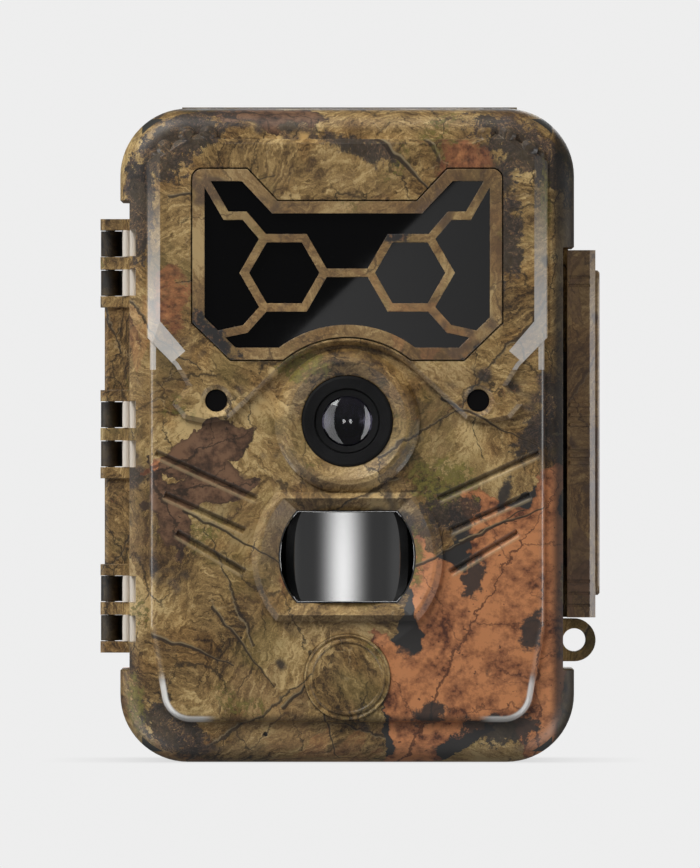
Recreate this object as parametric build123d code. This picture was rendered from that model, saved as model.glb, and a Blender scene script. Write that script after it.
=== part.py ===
from build123d import *
import math
import os

# A trail camera: a two-part housing hinged on its left side and shut by a lever latch on
# its right. Millimetres. +Z is up and the front faces -Y. The origin is the mouth of the
# tripod thread, in the flat bottom of the back housing.

# ---------------------------------------------------------------- driving dimensions
BODY_W = 97.2  # both housings, without hinge and latch
BODY_H = 140.0
BODY_R = 14.5  # corners of the outline
WALL = 2.4
MID_Z = BODY_H / 2

SPLIT_Y = -17.0  # plane on which the two housings meet
FACE_Y = -48.0  # rim of the front face
PANEL_Y = -50.4  # raised lower panel
PLATEAU_Y = -52.4  # raised upper panel around the lamp window
BACK_Y = 12.0  # back wall
RIM_R = 5.0  # rounding of the front edge
BACK_RIM_R = 6.0  # rounding of the back edge
INNER_FACE_Y = FACE_Y + WALL  # inside of the rim
INNER_PANEL_Y = PANEL_Y + WALL  # inside of the raised panels
INNER_BACK_Y = BACK_Y - WALL

CAVITY_W = 87.6  # inside of both housings
CAVITY_H = BODY_H - 2 * WALL
CAVITY_R = 10.5

# Flat recesses in the sides, one for the hinge and one for the latch.
HINGE_WALL_X = -46.6
HINGE_RECESS_Z = (19.6, 120.3)
LATCH_WALL_X = 46.2
LATCH_RECESS_Z = (19.7, 110.3)

# Hinge: three groups of knuckles on short pins.
HINGE_X = -51.1
HINGE_Y = SPLIT_Y
KNUCKLE_R = 2.0
PIN_R = 1.0
RUNNING_GAP = 0.06  # radial, pin in a turning knuckle
HINGE_GROUP_Z = (32.7, 70.2, 107.0)
HINGE_GROUP_H = 19.0
RIB_END_H = 2.4
RIB_MID_H = 2.7
FLANGE_X = -52.2
FLANGE_DEPTH = 8.0
FLANGE_Z = (23.2, 116.5)
POCKET_WALL_X = -48.4
NOTCH_WALL_X = -45.3  # the front housing's side is let in this far in front of each pocket
KNUCKLE_GAP = 0.15  # end play between knuckles

# Lever latch on the right side.
LATCH_X, LATCH_Y = 49.9, -7.0  # its pin
LATCH_Z = (30.8, 109.8)
LATCH_COVER_Z = (35.6, 105.6)
LATCH_INNER_X = 47.3
LATCH_OUTER_X = 53.4
LATCH_COVER_X = 54.3
LATCH_FRONT_Y = -27.6
LATCH_BACK_Y = -4.0
LATCH_PLATE = 1.7
LATCH_LIP = 2.2
LATCH_BEVEL = 1.25
LATCH_LUG_Z = ((36.0, 43.0), (66.8, 73.8), (97.6, 104.6))
LATCH_KNUCKLE_R = 1.9
LATCH_RIBS_Z = (64.1, 65.7, 67.3, 72.3, 74.4, 76.5)
LATCH_NOTCHES_Z = (33.4, 36.0, 38.6, 102.2, 104.0)

KEEPER_Z = (52.0, 88.0)
KEEPER_Y = -25.0
LATCH_RIB_X = 47.6  # rib on the front housing that closes the gap behind the lever
LATCH_RIB_W = 2.0

# Padlock eye, one lug on each housing.
EYE_X, EYE_Z = 48.9, 25.9
EYE_R = 4.6
EYE_HOLE_R = 2.5
EYE_THICK = 5.0
MEETING_GAP = 0.15  # each lug stands this far from the split plane

# Front details.
PANEL_EDGE_R = 1.9  # rounding along the lower panel's edge
PANEL_FOOT_R = 6.5  # and of its lower corners
PLATEAU_EDGE = 0.9
COLLAR_EDGE = 1.2
SOUND_HOLE_X, SOUND_HOLE_Z, SOUND_HOLE_R = -17.5, 6.0, 0.5
LENS_Z = 73.0
BEZEL_R = 9.7
PIR_Z = 44.0
PIR_R = 14.4  # window circle
PIR_HALF_H = 9.7  # and where it is cut flat
COLLAR_R = 20.4
COLLAR_HALF_H = 13.7
COLLAR_Y = -52.8
EYELET_X, EYELET_Z = 28.0, 77.4  # light-sensor and indicator holes
EYELET_R = 2.4
EMBLEM_Z = 18.2
EMBLEM_R = 9.2
TURRET_R = 15.5
TURRET_Y = -53.4
# Right half of the upper panel's outline, as (x, z), from the lens arch round to the top.
PLATEAU_HALF = [(13.7, 84.4), (25.4, 73.4), (30.2, 72.5), (34.8, 73.5), (37.4, 76.6),
                (34.2, 80.6), (36.8, 84.8), (42.9, 91.0), (42.9, 128.6), (38.4, 131.6),
                (34.2, 134.2), (29.7, 134.4), (26.6, 133.3)]
PLATEAU_ARCH_Z = 89.3
SCALLOPS = [(29.7, 134.3), (34.3, 134.2), (38.9, 131.3)]
SCALLOP_R = 1.9
# Wide facets of the upper panel: low end and high end of the inner edge, width, and depth
# over width.
FACETS = (((40.0, 86.0), (40.0, 131.0), 3.9, 1.2), ((34.6, 88.0), (42.0, 96.7), 5.0, 0.46))
# Right-hand gills, as pairs of (x, z) ends.
GILLS = (((41.0, 66.2), (19.4, 56.4)), ((39.1, 57.3), (21.9, 49.5)), ((36.5, 49.2), (21.9, 40.6)))
GILL_W = 1.2
GAP = 0.3  # shadow gap round inserted pieces

# Lamp window and its honeycomb.
FRAME_BAND = 2.6
FRAME_PROUD = 0.2
FRAME_THICK = 1.6
WINDOW_THICK = 1.2
# Right half of the frame's outline, as (x, z); the left half mirrors it.
FRAME_HALF = [(14.9, 120.0), (21.4, 126.9), (33.1, 126.9), (33.1, 94.1), (24.9, 86.1),
              (13.7, 86.1)]
FRAME_ARCH_Z = 91.0
FRAME_CORNER_R = 2.1
HONEYCOMB_BAR = 1.8
HONEYCOMB_R = 8.55
HONEYCOMB_X, HONEYCOMB_Z = 13.45, 104.7
# Right-hand branches from the hexagon out to the frame, as (x, z).
BRANCHES = ([(17.7, 112.0), (21.9, 116.9), (25.9, 116.9), (31.2, 126.0)],
            [(17.7, 97.3), (21.8, 92.7), (28.4, 91.3)])

# Charging and data ports in the floor of the front housing, under a rubber flap.
PORT_X = (6.5, 32.5)
PORT_Y = (-41.0, -28.0)
PORT_HOLE_X = (8.5, 30.5)
PORT_HOLE_Y = (-39.0, -30.0)
PORT_HINGE_Z = 0.95
PORT_HINGE_R = 0.8
PORT_THICK = 1.5
JACK_X, USB_X, SOCKET_Y = 14.0, 25.0, -34.5

# Electronics in the front housing.
BOARD_THICK = 1.6
LED_R = 2.5
LED_PITCH = 6.6
LED_ROWS = 6
LED_LOW_Z = 90.6
LED_BOARD_Y = -42.5  # front face
MAIN_BOARD_Y = -27.0  # back face
SENSOR_BOARD_Y = -33.0  # front face
FILTER_TRAVEL = 5.2
PIR_BOARD_Y = -34.0  # front face
PIR_LENS_R, PIR_LENS_THICK = 22.0, 1.1  # motion window's curve and wall
PIR_APEX_Y = -52.0
LENS_R, LENS_BULGE = 5.35, 1.1  # cover glass and how far it domes
LENS_RIM_Y = -50.3
APERTURE_R = 2.2
# Packages on the main board: x, z, width, height, thickness.
CHIPS = [(-18, 30, 12, 12, 1.4), (4, 62, 10, 8, 1.1), (-26, 58, 7, 9, 1.6), (22, 44, 8, 6, 1.8),
         (-6, 16, 9, 6, 1.2)]

# Inner panel with the screen and the keys.
KEYPANEL_Y = -19.0  # its outer face
KEYPANEL_THICK = 2.0
KEYPANEL_W, KEYPANEL_H, KEYPANEL_R = 82.6, 130.2, 8.0
KEY_R = 4.2
KEY_PROUD = 1.0
KEY_CLEAR = 0.25
SCREEN_Z = 105.0
SCREEN_W, SCREEN_H = 50.0, 38.0
KEY_CENTRE_Z = 59.0
KEY_STEP = 10.5
KEYS = {
    "button_ok": (0.0, KEY_CENTRE_Z),
    "button_up": (0.0, KEY_CENTRE_Z + KEY_STEP),
    "button_down": (0.0, KEY_CENTRE_Z - KEY_STEP),
    "button_left": (-KEY_STEP, KEY_CENTRE_Z),
    "button_right": (KEY_STEP, KEY_CENTRE_Z),
    "button_menu": (-27.0, KEY_CENTRE_Z + 6.5),
    "button_play": (-27.0, KEY_CENTRE_Z - 6.5),
}
SWITCH_X, SWITCH_Z = 27.0, KEY_CENTRE_Z
SWITCH_TRAVEL = 2.5
CARD_W, CARD_L, CARD_THICK = 24.0, 32.0, 2.1
CARD_Z = 28.0
CARD_Y = -21.7  # face towards the back
CARD_REST_X = -10.5  # left end when pushed home
POCKET_X = (-35.5, -5.5)
POCKET_FLOOR_Y = -25.2

# Back of the back housing, and the tripod insert in its floor.
STRAP_X = 21.0
STRAP_Y = 20.5
STRAP_Z = (57.0, 93.0)
STRAP_SLOT_Y = (BACK_Y + 0.4, 17.6)
STRAP_SLOT_Z = (61.0, 89.0)
FOOT_Y = 17.0
FOOT_Z = (30.0, 116.0)
TRIPOD_NUT_R = 6.0
TRIPOD_NUT_H = 9.0
TRIPOD_THREAD_R = 2.6

# Battery compartment: two banks of four AA cells.
CELL_R = 7.1
CELL_L = 49.2
NUB_R, NUB_L = 2.75, 1.3
CELL_PITCH = 15.4
CELL_COLUMNS = 4
TRAY_WALL = 1.5
TRAY_FRONT_Y = -15.2
TRAY_FLOOR_Y = 0.4
TRAY_Z = (13.0, 132.0)
CELL_Y = TRAY_FLOOR_Y - TRAY_WALL - CELL_R - 0.05
SPRING_R = 2.9
SPRING_WIRE_R = 0.3
CONTACT_THICK = 0.4

# Screws.
LED_BOARD_POSTS = [(-38.0, 121.0), (38.0, 121.0), (-38.0, 97.0), (38.0, 97.0)]
MAIN_BOARD_POSTS = [(-24.5, 9.0), (37.5, 24.0), (-37.5, 84.0), (37.5, 84.0)]
KEYPANEL_POSTS = [(-37.6, 130.2), (37.6, 130.2), (-38.6, 47.0), (38.6, 47.0), (-37.6, 9.8),
                  (37.6, 9.8)]
TRAY_SCREWS = [(-37.0, 124.0), (37.0, 124.0), (-37.0, 21.0), (37.0, 21.0)]
SCREW_R = 1.0
SCREW_HEAD_R = 2.0
SCREW_HEAD_H = 1.3
POST_R = 2.9
SCREW_SLACK = 0.05


# ---------------------------------------------------------------- shape helpers
def front_plane(y):
    """Sketch plane at depth y: sketches are drawn in X and Z, as seen from the front."""
    return Plane(origin=(0, y, 0), x_dir=(1, 0, 0), z_dir=(0, -1, 0))


def slab(sketch, y_back, y_front):
    """A sketch drawn in X and Z, given thickness from y_back forward to y_front."""
    return extrude(front_plane(y_back) * sketch, y_back - y_front, dir=(0, -1, 0))


def block(x0, x1, y0, y1, z0, z1):
    """A box between six limits."""
    middle = Pos((x0 + x1) / 2, (y0 + y1) / 2, (z0 + z1) / 2)
    return middle * Box(x1 - x0, y1 - y0, z1 - z0)


def rod_x(y, z, radius, x0, x1):
    """A round bar along X."""
    return Pos((x0 + x1) / 2, y, z) * Rot(0, 90, 0) * Cylinder(radius, x1 - x0)


def rod_y(x, z, radius, y0, y1):
    """A round bar along Y."""
    return Pos(x, (y0 + y1) / 2, z) * Rot(90, 0, 0) * Cylinder(radius, y1 - y0)


def rod_z(x, y, radius, z0, z1):
    """A round bar along Z."""
    return Pos(x, y, (z0 + z1) / 2) * Cylinder(radius, z1 - z0)


def turned(x, z, profile):
    """A turned shape about the front-to-back line through (x, z), from (radius, y) points."""
    face = make_face(Polyline(*profile, close=True))
    return Pos(x, 0, z) * revolve(face, Axis.Y)


def panel_sketch(width, height, radius, z=MID_Z, x=0):
    """A rounded rectangle centred at (x, z)."""
    return Pos(x, z) * RectangleRounded(width, height, radius)


def outline_sketch(points):
    """A closed outline from its corners."""
    return make_face(Polyline(*points, close=True))


def mirrored(half):
    """Corners of a shape that is symmetric left to right, from its right half."""
    return half + [(-x, z) for x, z in reversed(half) if x > 0]


def clipped_disc(radius, half_height):
    """A disc with its top and bottom cut flat."""
    return Circle(radius) & Rectangle(2 * radius, 2 * half_height)


def front_edges(shape):
    """The edges round the foremost face."""
    return shape.faces().sort_by(Axis.Y)[0].edges()


def group(shapes):
    """Several separate solids as one sub-part."""
    return Compound(children=[shape.solids()[0] for shape in shapes])


def posts(places, y_back, y_front, radius=POST_R, hole_r=SCREW_R + SCREW_SLACK):
    """Screw posts between two depths, each with a pilot hole."""
    made = Part()
    for x, z in places:
        made += rod_y(x, z, radius, y_front, y_back) - rod_y(x, z, hole_r, y_front, y_back)
    return made


def screw(x, z, seat_y, length, points_back=False):
    """Pan-head screw with a cross recess. Its head sits on seat_y."""
    sign = 1 if points_back else -1
    head_y = sorted((seat_y, seat_y - sign * SCREW_HEAD_H))
    shank_y = sorted((seat_y, seat_y + sign * length))
    shape = rod_y(x, z, SCREW_HEAD_R, *head_y) + rod_y(x, z, SCREW_R, *shank_y)
    top = seat_y - sign * SCREW_HEAD_H
    slot_y = sorted((top, top + sign * 0.7))
    for half_x, half_z in ((1.2, 0.28), (0.28, 1.2)):
        shape -= block(x - half_x, x + half_x, *slot_y, z - half_z, z + half_z)
    return shape


def hinge_pockets():
    """Height ranges of the six gaps between the front housing's knuckles."""
    gaps = []
    for centre in HINGE_GROUP_Z:
        for side in (-1, 1):
            near = centre + side * RIB_MID_H / 2
            far = centre + side * (HINGE_GROUP_H / 2 - RIB_END_H)
            gaps.append(tuple(sorted((near, far))))
    return gaps


def hinge_ribs():
    """Height ranges of the nine knuckles on the front housing."""
    ribs = []
    for centre in HINGE_GROUP_Z:
        half = HINGE_GROUP_H / 2
        ribs.append((centre - half, centre - half + RIB_END_H))
        ribs.append((centre - RIB_MID_H / 2, centre + RIB_MID_H / 2))
        ribs.append((centre + half - RIB_END_H, centre + half))
    return ribs


def housing_block(y_back, y_front, rim_y, rim_r):
    """One housing's outside between two depths, its edge at rim_y rounded."""
    solid = slab(panel_sketch(BODY_W, BODY_H, BODY_R), y_back, y_front)
    rim = [e for e in solid.edges() if abs(e.center().Y - rim_y) < 0.01]
    solid = fillet(rim, rim_r)
    far = BODY_W
    solid -= block(-far, HINGE_WALL_X, y_front - 1, y_back + 1, *HINGE_RECESS_Z)
    solid -= block(LATCH_WALL_X, far, y_front - 1, y_back + 1, *LATCH_RECESS_Z)
    return solid


def padlock_lug(y_back, y_front):
    """One half of the padlock eye."""
    lug = rod_y(EYE_X, EYE_Z, EYE_R, y_front, y_back)
    lug += block(LATCH_WALL_X - 1, EYE_X, y_front, y_back, EYE_Z - EYE_R, EYE_Z + EYE_R)
    return lug - rod_y(EYE_X, EYE_Z, EYE_HOLE_R, y_front - 1, y_back + 1)


# ---------------------------------------------------------------- front housing
def lamp_outline(grow=0.0):
    """Outline of the lamp window's frame: stepped top, cut corners, arch over the lens."""
    line = Polyline(*FRAME_HALF) + Polyline(*[(-x, z) for x, z in FRAME_HALF])
    top, foot = FRAME_HALF[0], FRAME_HALF[-1]
    line += Line(top, (-top[0], top[1]))
    line += ThreePointArc(foot, (0, FRAME_ARCH_Z), (-foot[0], foot[1]))
    face = make_face(line)
    outer_top = [v for v in face.vertices() if abs(v.X) > 33 and v.Y > 120]
    face = fillet(outer_top, FRAME_CORNER_R)
    if grow:
        face = offset(face, amount=grow, kind=Kind.INTERSECTION)
    return face


def plateau_outline():
    """Outline of the upper raised panel: a lobe under each eyelet, scalloped top corners."""
    line = Polyline(*PLATEAU_HALF) + Polyline(*[(-x, z) for x, z in PLATEAU_HALF])
    top, foot = PLATEAU_HALF[-1], PLATEAU_HALF[0]
    line += Line(top, (-top[0], top[1]))
    line += ThreePointArc(foot, (0, PLATEAU_ARCH_Z), (-foot[0], foot[1]))
    face = make_face(line)
    for side in (-1, 1):
        for x, z in SCALLOPS:
            face += Pos(side * x, z) * Circle(SCALLOP_R)
    return face


def facet(low, high, width, slope):
    """Cutter for a wide facet that slopes away to the right of the line from low to high."""
    dx, dz = high[0] - low[0], high[1] - low[1]
    section = Polyline((0, 0), (width, 0), (width, slope * width), close=True)
    wedge = extrude(make_face(section), math.hypot(dx, dz), dir=(0, 0, 1))
    lean = math.degrees(math.atan2(dx, dz))
    return Pos(low[0], PLATEAU_Y, low[1]) * Rot(0, lean, 0) * wedge


def plateau():
    """Upper raised panel, with wide facets along its sides and lower corners."""
    solid = slab(plateau_outline(), FACE_Y + 1, PLATEAU_Y)
    solid = chamfer(front_edges(solid), PLATEAU_EDGE)
    cutters = group(facet(*spec) for spec in FACETS)
    return solid - cutters - mirror(cutters, Plane.YZ)


def lower_panel():
    """Lower raised panel, narrower at its foot."""
    corners = mirrored([(38.8, 8.5), (42.3, 29.0), (42.3, 131.0)])
    sketch = outline_sketch(corners)
    feet = sketch.vertices().filter_by(lambda v: v.Y < 10)
    sketch = fillet(feet, PANEL_FOOT_R)
    solid = slab(sketch, FACE_Y + 1, PANEL_Y)
    return fillet(front_edges(solid), PANEL_EDGE_R)


def lens_turret():
    """Ring round the lens: rises from the panel, then funnels in to the bezel."""
    return turned(0, LENS_Z, [(BEZEL_R, INNER_PANEL_Y), (TURRET_R, INNER_PANEL_Y),
                              (TURRET_R, PANEL_Y - 0.6), (13.6, TURRET_Y + 0.2),
                              (12.6, TURRET_Y), (BEZEL_R + 0.1, TURRET_Y + 1.6)])


def pir_collar():
    """Raised collar round the motion sensor's window."""
    ring = slab(Pos(0, PIR_Z) * clipped_disc(COLLAR_R, COLLAR_HALF_H), PANEL_Y + 1, COLLAR_Y)
    return chamfer(front_edges(ring), COLLAR_EDGE)


def pir_funnel():
    """The collar's hollow: a cone between two sloping planes."""
    cone = turned(0, PIR_Z, [(0, PANEL_Y), (PIR_R + 0.2, PANEL_Y), (PIR_R + 4.2, COLLAR_Y - 0.1),
                             (0, COLLAR_Y - 0.1)])
    low, high = PIR_HALF_H + 0.2, PIR_HALF_H + 2.9
    side = Plane(origin=(0, 0, PIR_Z), x_dir=(0, 1, 0), z_dir=(1, 0, 0))
    slope = Polyline((PANEL_Y, -low), (PANEL_Y, low), (COLLAR_Y - 0.1, high),
                     (COLLAR_Y - 0.1, -high), close=True)
    wedge = extrude(side * make_face(slope), 2 * COLLAR_R, both=True)
    return cone & wedge


def gill(start, end):
    """A straight groove of V section across the panel, between two (x, z) points."""
    dx, dz = end[0] - start[0], end[1] - start[1]
    length = math.hypot(dx, dz)
    angle = math.degrees(math.atan2(dz, dx))
    place = Pos((start[0] + end[0]) / 2, PANEL_Y, (start[1] + end[1]) / 2)
    return place * Rot(0, -angle, 0) * Rot(45, 0, 0) * Box(length, GILL_W, GILL_W)


def hinge_flange():
    """Strip along the hinge side that carries the front housing's knuckles."""
    strip = block(FLANGE_X, HINGE_WALL_X + 1, HINGE_Y - FLANGE_DEPTH, HINGE_Y, *FLANGE_Z)
    strip = fillet(strip.edges().filter_by(Axis.Z).sort_by(Axis.X)[:2].sort_by(Axis.Y)[0], 1.0)
    for z0, z1 in hinge_ribs():
        rib = block(HINGE_X - KNUCKLE_R, HINGE_WALL_X + 1, HINGE_Y - FLANGE_DEPTH - 0.8, HINGE_Y,
                    z0, z1)
        rib = fillet(rib.edges().filter_by(Axis.Z).sort_by(Axis.X)[:2].sort_by(Axis.Y)[0], 1.2)
        strip += rib + rod_z(HINGE_X, HINGE_Y, KNUCKLE_R, z0, z1)
    for z0, z1 in hinge_pockets():
        strip -= block(HINGE_X - 5, POCKET_WALL_X, HINGE_Y - 12, HINGE_Y + 5, z0, z1)
        for bead_x in (-47.6, -46.2):
            strip += rod_z(bead_x, HINGE_Y - FLANGE_DEPTH - 0.4, 0.68, z0, z1)
    return strip - rod_z(HINGE_X, HINGE_Y, PIN_R + RUNNING_GAP, FLANGE_Z[0] - 1, FLANGE_Z[1] + 1)


def front_shell():
    """Front housing: hollow, with its window openings, hinge flange and posts."""
    shell = housing_block(SPLIT_Y, FACE_Y, FACE_Y, RIM_R)
    shell += lower_panel() + plateau() + lens_turret() + pir_collar()
    shell -= slab(panel_sketch(CAVITY_W, CAVITY_H, CAVITY_R), SPLIT_Y, INNER_FACE_Y)
    shell -= slab(panel_sketch(77.0, 116.0, 6.0), SPLIT_Y, INNER_PANEL_Y)
    for z0, z1 in hinge_pockets():
        shell -= block(-BODY_W, NOTCH_WALL_X, FACE_Y - 1, HINGE_Y - FLANGE_DEPTH, z0, z1)
    shell += seal_land() + hinge_flange()
    shell += padlock_lug(SPLIT_Y - MEETING_GAP, SPLIT_Y - MEETING_GAP - EYE_THICK)
    shell += rain_lip() + port_boss() + keeper_lug() + latch_rib()
    shell += posts(LED_BOARD_POSTS, LED_BOARD_Y, INNER_FACE_Y - 1, POST_R)
    shell += posts(MAIN_BOARD_POSTS, MAIN_BOARD_Y - BOARD_THICK, INNER_FACE_Y - 1, POST_R)
    shell += posts(KEYPANEL_POSTS, KEYPANEL_Y - KEYPANEL_THICK, INNER_FACE_Y - 1, POST_R)
    return shell - front_openings()


def front_openings():
    """Everything cut through or into the front face."""
    window_back = PLATEAU_Y - FRAME_PROUD + FRAME_THICK + WINDOW_THICK + 0.1
    cut = slab(lamp_outline(GAP), window_back, PLATEAU_Y - 1)
    cut += slab(lamp_outline(-2.2), INNER_FACE_Y, PLATEAU_Y)
    cut += rod_y(0, LENS_Z, BEZEL_R + 0.1, PLATEAU_Y - 2, INNER_FACE_Y)
    cut += slab(Pos(0, PIR_Z) * clipped_disc(PIR_R, PIR_HALF_H), INNER_FACE_Y, PLATEAU_Y)
    cut += pir_funnel()
    for side in (-1, 1):
        cut += turned(side * EYELET_X, EYELET_Z, [(0, PLATEAU_Y - 0.1), (3.5, PLATEAU_Y - 0.1),
                                                  (EYELET_R, PLATEAU_Y + 0.7),
                                                  (EYELET_R, INNER_FACE_Y), (0, INNER_FACE_Y)])
        for start, end in GILLS:
            cut += gill((side * start[0], start[1]), (side * end[0], end[1]))
    cut += rod_y(0, EMBLEM_Z, EMBLEM_R + 0.1, PANEL_Y - 2, PANEL_Y + 1.0)
    cut += rod_y(SOUND_HOLE_X, SOUND_HOLE_Z, SOUND_HOLE_R, FACE_Y - 1, INNER_FACE_Y + 1)
    cut += block(*PORT_HOLE_X, *PORT_HOLE_Y, -1, 6)
    cut += port_recess()
    return cut


def rain_lip():
    """Low ridge along the top, above the split."""
    return block(-35.5, 36.5, SPLIT_Y - 10, SPLIT_Y, BODY_H - 1, BODY_H + 0.5)


def seal_land():
    """Flat ring inside the front housing that meets the seal when it is shut."""
    ring = panel_sketch(CAVITY_W + 1, CAVITY_H + 1, CAVITY_R) - panel_sketch(
        KEYPANEL_W + 0.8, KEYPANEL_H + 0.8, KEYPANEL_R)
    return slab(ring, SPLIT_Y - 0.3, SPLIT_Y - 3.3)


def port_boss():
    """Thicker floor round the charging and data ports."""
    return block(PORT_X[0] - 2, PORT_X[1] + 2, PORT_Y[0] - 2, PORT_Y[1] + 2, 1.0, 4.6)


def port_recess():
    """Shallow recess that the rubber flap closes flush."""
    x_ends = PORT_X[0] - GAP, PORT_X[1] + GAP
    swing = PORT_HINGE_R + GAP
    recess = block(*x_ends, PORT_Y[0], PORT_Y[1] + GAP, -1, 1.9)
    recess += block(*x_ends, PORT_Y[0] - swing, PORT_Y[0], -1, PORT_HINGE_Z)
    return recess + rod_x(PORT_Y[0], PORT_HINGE_Z, swing, *x_ends)


def port_cover():
    """Rubber flap over the ports, with a round hinge edge and a finger tab."""
    low = PORT_HINGE_Z - PORT_HINGE_R
    flap = block(*PORT_X, PORT_Y[0], PORT_Y[1], low, low + PORT_THICK)
    flap += rod_x(PORT_Y[0], PORT_HINGE_Z, PORT_HINGE_R, *PORT_X)
    for x in (JACK_X, USB_X):
        flap += rod_z(x, SOCKET_Y, 2.0, low + 1, low + PORT_THICK + 0.9)
    return flap


def keeper_lug():
    """Ledge on the latch side that the keeper clip wraps."""
    return block(LATCH_WALL_X - 1, LATCH_WALL_X + 0.7, KEEPER_Y + 0.8, KEEPER_Y + 4.6,
                 KEEPER_Z[0] + 1, KEEPER_Z[1] - 1)


def latch_rib():
    """Rib along the split that keeps rain and light out of the gap behind the lever."""
    back = SPLIT_Y - MEETING_GAP
    return block(LATCH_WALL_X - 1, LATCH_RIB_X, back - LATCH_RIB_W, back, LATCH_Z[0],
                 LATCH_RECESS_Z[1])


def keeper_clip():
    """Sprung steel clip over the ledge, which the latch's lip snaps past."""
    x0, x1 = LATCH_WALL_X + 0.02, LATCH_WALL_X + 2.3
    clip = block(x0, x1, KEEPER_Y + 0.1, KEEPER_Y + 0.75, *KEEPER_Z)
    clip += block(x1 - 0.65, x1, KEEPER_Y + 0.1, KEEPER_Y + 6.0, *KEEPER_Z)
    return fillet(clip.edges().filter_by(Axis.Z).sort_by(Axis.X)[-2:].sort_by(Axis.Y)[0], 0.5)


def honeycomb_bars(y_back, y_front):
    """The hexagons, the link between them and the branches out to the frame."""
    reach = HONEYCOMB_BAR / math.sqrt(3)
    link = HONEYCOMB_X - HONEYCOMB_R
    bars = slab(Pos(0, HONEYCOMB_Z) * Rectangle(2 * link, HONEYCOMB_BAR), y_back, y_front)
    for side in (-1, 1):
        ring = RegularPolygon(HONEYCOMB_R + reach, 6) - RegularPolygon(HONEYCOMB_R - reach, 6)
        bars += slab(Pos(side * HONEYCOMB_X, HONEYCOMB_Z) * ring, y_back, y_front)
        for branch in BRANCHES:
            path = Polyline(*[(side * x, z) for x, z in branch])
            bars += slab(trace(path, HONEYCOMB_BAR), y_back, y_front)
    return bars


def lamp_frame():
    """Frame and honeycomb over the lamp window."""
    front = PLATEAU_Y - FRAME_PROUD
    back = front + FRAME_THICK
    outline = slab(lamp_outline(), back, front)
    ring = outline - slab(lamp_outline(-FRAME_BAND), back + 1, front - 1)
    return ring + (honeycomb_bars(back, front) & outline)


def lamp_window():
    """Dark acrylic pane behind the honeycomb."""
    front = PLATEAU_Y - FRAME_PROUD + FRAME_THICK + 0.05
    return slab(lamp_outline(-0.1), front + WINDOW_THICK, front)


def lens_bezel():
    """Black stepped ring in the turret, with a flange behind the wall."""
    return turned(0, LENS_Z, [(5.4, -51.2), (6.7, -51.5), (6.9, -51.3), (7.1, -52.0),
                              (9.2, -52.3), (BEZEL_R, -52.0), (BEZEL_R, INNER_FACE_Y + 0.1),
                              (11.5, INNER_FACE_Y + 0.1), (11.5, INNER_FACE_Y + 1.3),
                              (7.2, INNER_FACE_Y + 1.3), (7.2, -50.2), (5.4, -50.2)])


def lens_window():
    """Domed cover glass in front of the lens."""
    sphere_r = (LENS_R ** 2 + LENS_BULGE ** 2) / (2 * LENS_BULGE)
    ball = Pos(0, LENS_RIM_Y - 0.3 - LENS_BULGE + sphere_r, LENS_Z) * Sphere(sphere_r)
    return ball & rod_y(0, LENS_Z, LENS_R, LENS_RIM_Y - 3, LENS_RIM_Y)


def lens_barrel():
    """Threaded tube that holds the glass elements."""
    return turned(0, LENS_Z, [(3.7, -49.9), (6.4, -49.9), (6.4, -37.5), (4.6, -37.5),
                              (4.6, -45.8), (3.7, -46.2)])


def lens_element():
    """Front glass element, deep in the barrel."""
    ball = Pos(0, -48.6 + 6.0, LENS_Z) * Sphere(6.0)
    return ball & rod_y(0, LENS_Z, 3.65, -49.5, -46.6)


def lens_holder():
    """Square mount for the barrel, with a slot for the infrared filter."""
    half = 9.5
    holder = block(-half, half, -40.8, SENSOR_BOARD_Y - 0.05, LENS_Z - half, LENS_Z + half)
    holder += rod_y(0, LENS_Z, 8.4, -44.2, -40.8)
    holder -= rod_y(0, LENS_Z, 6.45, -46, -37.3)
    holder -= rod_y(0, LENS_Z, 4.5, -38, -30)
    holder -= block(-half - 1, half - 1.2, -36.9, -35.3, LENS_Z - 5.4, LENS_Z + 5.4)
    holder -= block(-5.5, 5.5, -34.9, -30, LENS_Z - 5.0, LENS_Z + 5.0)
    return holder


def ir_cut_slider():
    """Sliding plate with two round apertures, one for day and one for night."""
    plate = block(-8.0, 2.8, -36.5, -35.7, LENS_Z - 5.0, LENS_Z + 5.0)
    for x in (0.0, -FILTER_TRAVEL):
        plate -= rod_y(x, LENS_Z, APERTURE_R, -37, -35)
    return plate


def image_sensor():
    """Sensor chip under the lens."""
    return block(-4.2, 4.2, SENSOR_BOARD_Y - 1.2, SENSOR_BOARD_Y - 0.02, LENS_Z - 3.6, LENS_Z + 3.6)


def sensor_board():
    """Small board behind the lens holder."""
    return slab(panel_sketch(27, 27, 1.5, LENS_Z), SENSOR_BOARD_Y + 1.2, SENSOR_BOARD_Y)


def pir_lens():
    """Curved dark window of the motion sensor, with a flange behind the wall."""
    centre_y = PIR_APEX_Y + PIR_LENS_R
    flange = (PIR_R + 3.4, PIR_HALF_H + 3.2)
    window = slab(Pos(0, PIR_Z) * clipped_disc(PIR_R - 0.15, PIR_HALF_H - 0.15), -44.3,
                  PIR_APEX_Y - 1)
    low, high = PIR_Z - PIR_HALF_H + 1.2, PIR_Z + PIR_HALF_H - 1.2
    lens = window & rod_z(0, centre_y, PIR_LENS_R, PIR_Z - 20, PIR_Z + 20)
    lens += block(-flange[0], flange[0], INNER_FACE_Y + 0.05, INNER_FACE_Y + 1.4,
                  PIR_Z - flange[1], PIR_Z + flange[1])
    lens -= rod_z(0, centre_y, PIR_LENS_R - PIR_LENS_THICK, low, high)
    return lens - block(-12.6, 12.6, -45.6, -43, low, high)


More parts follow.
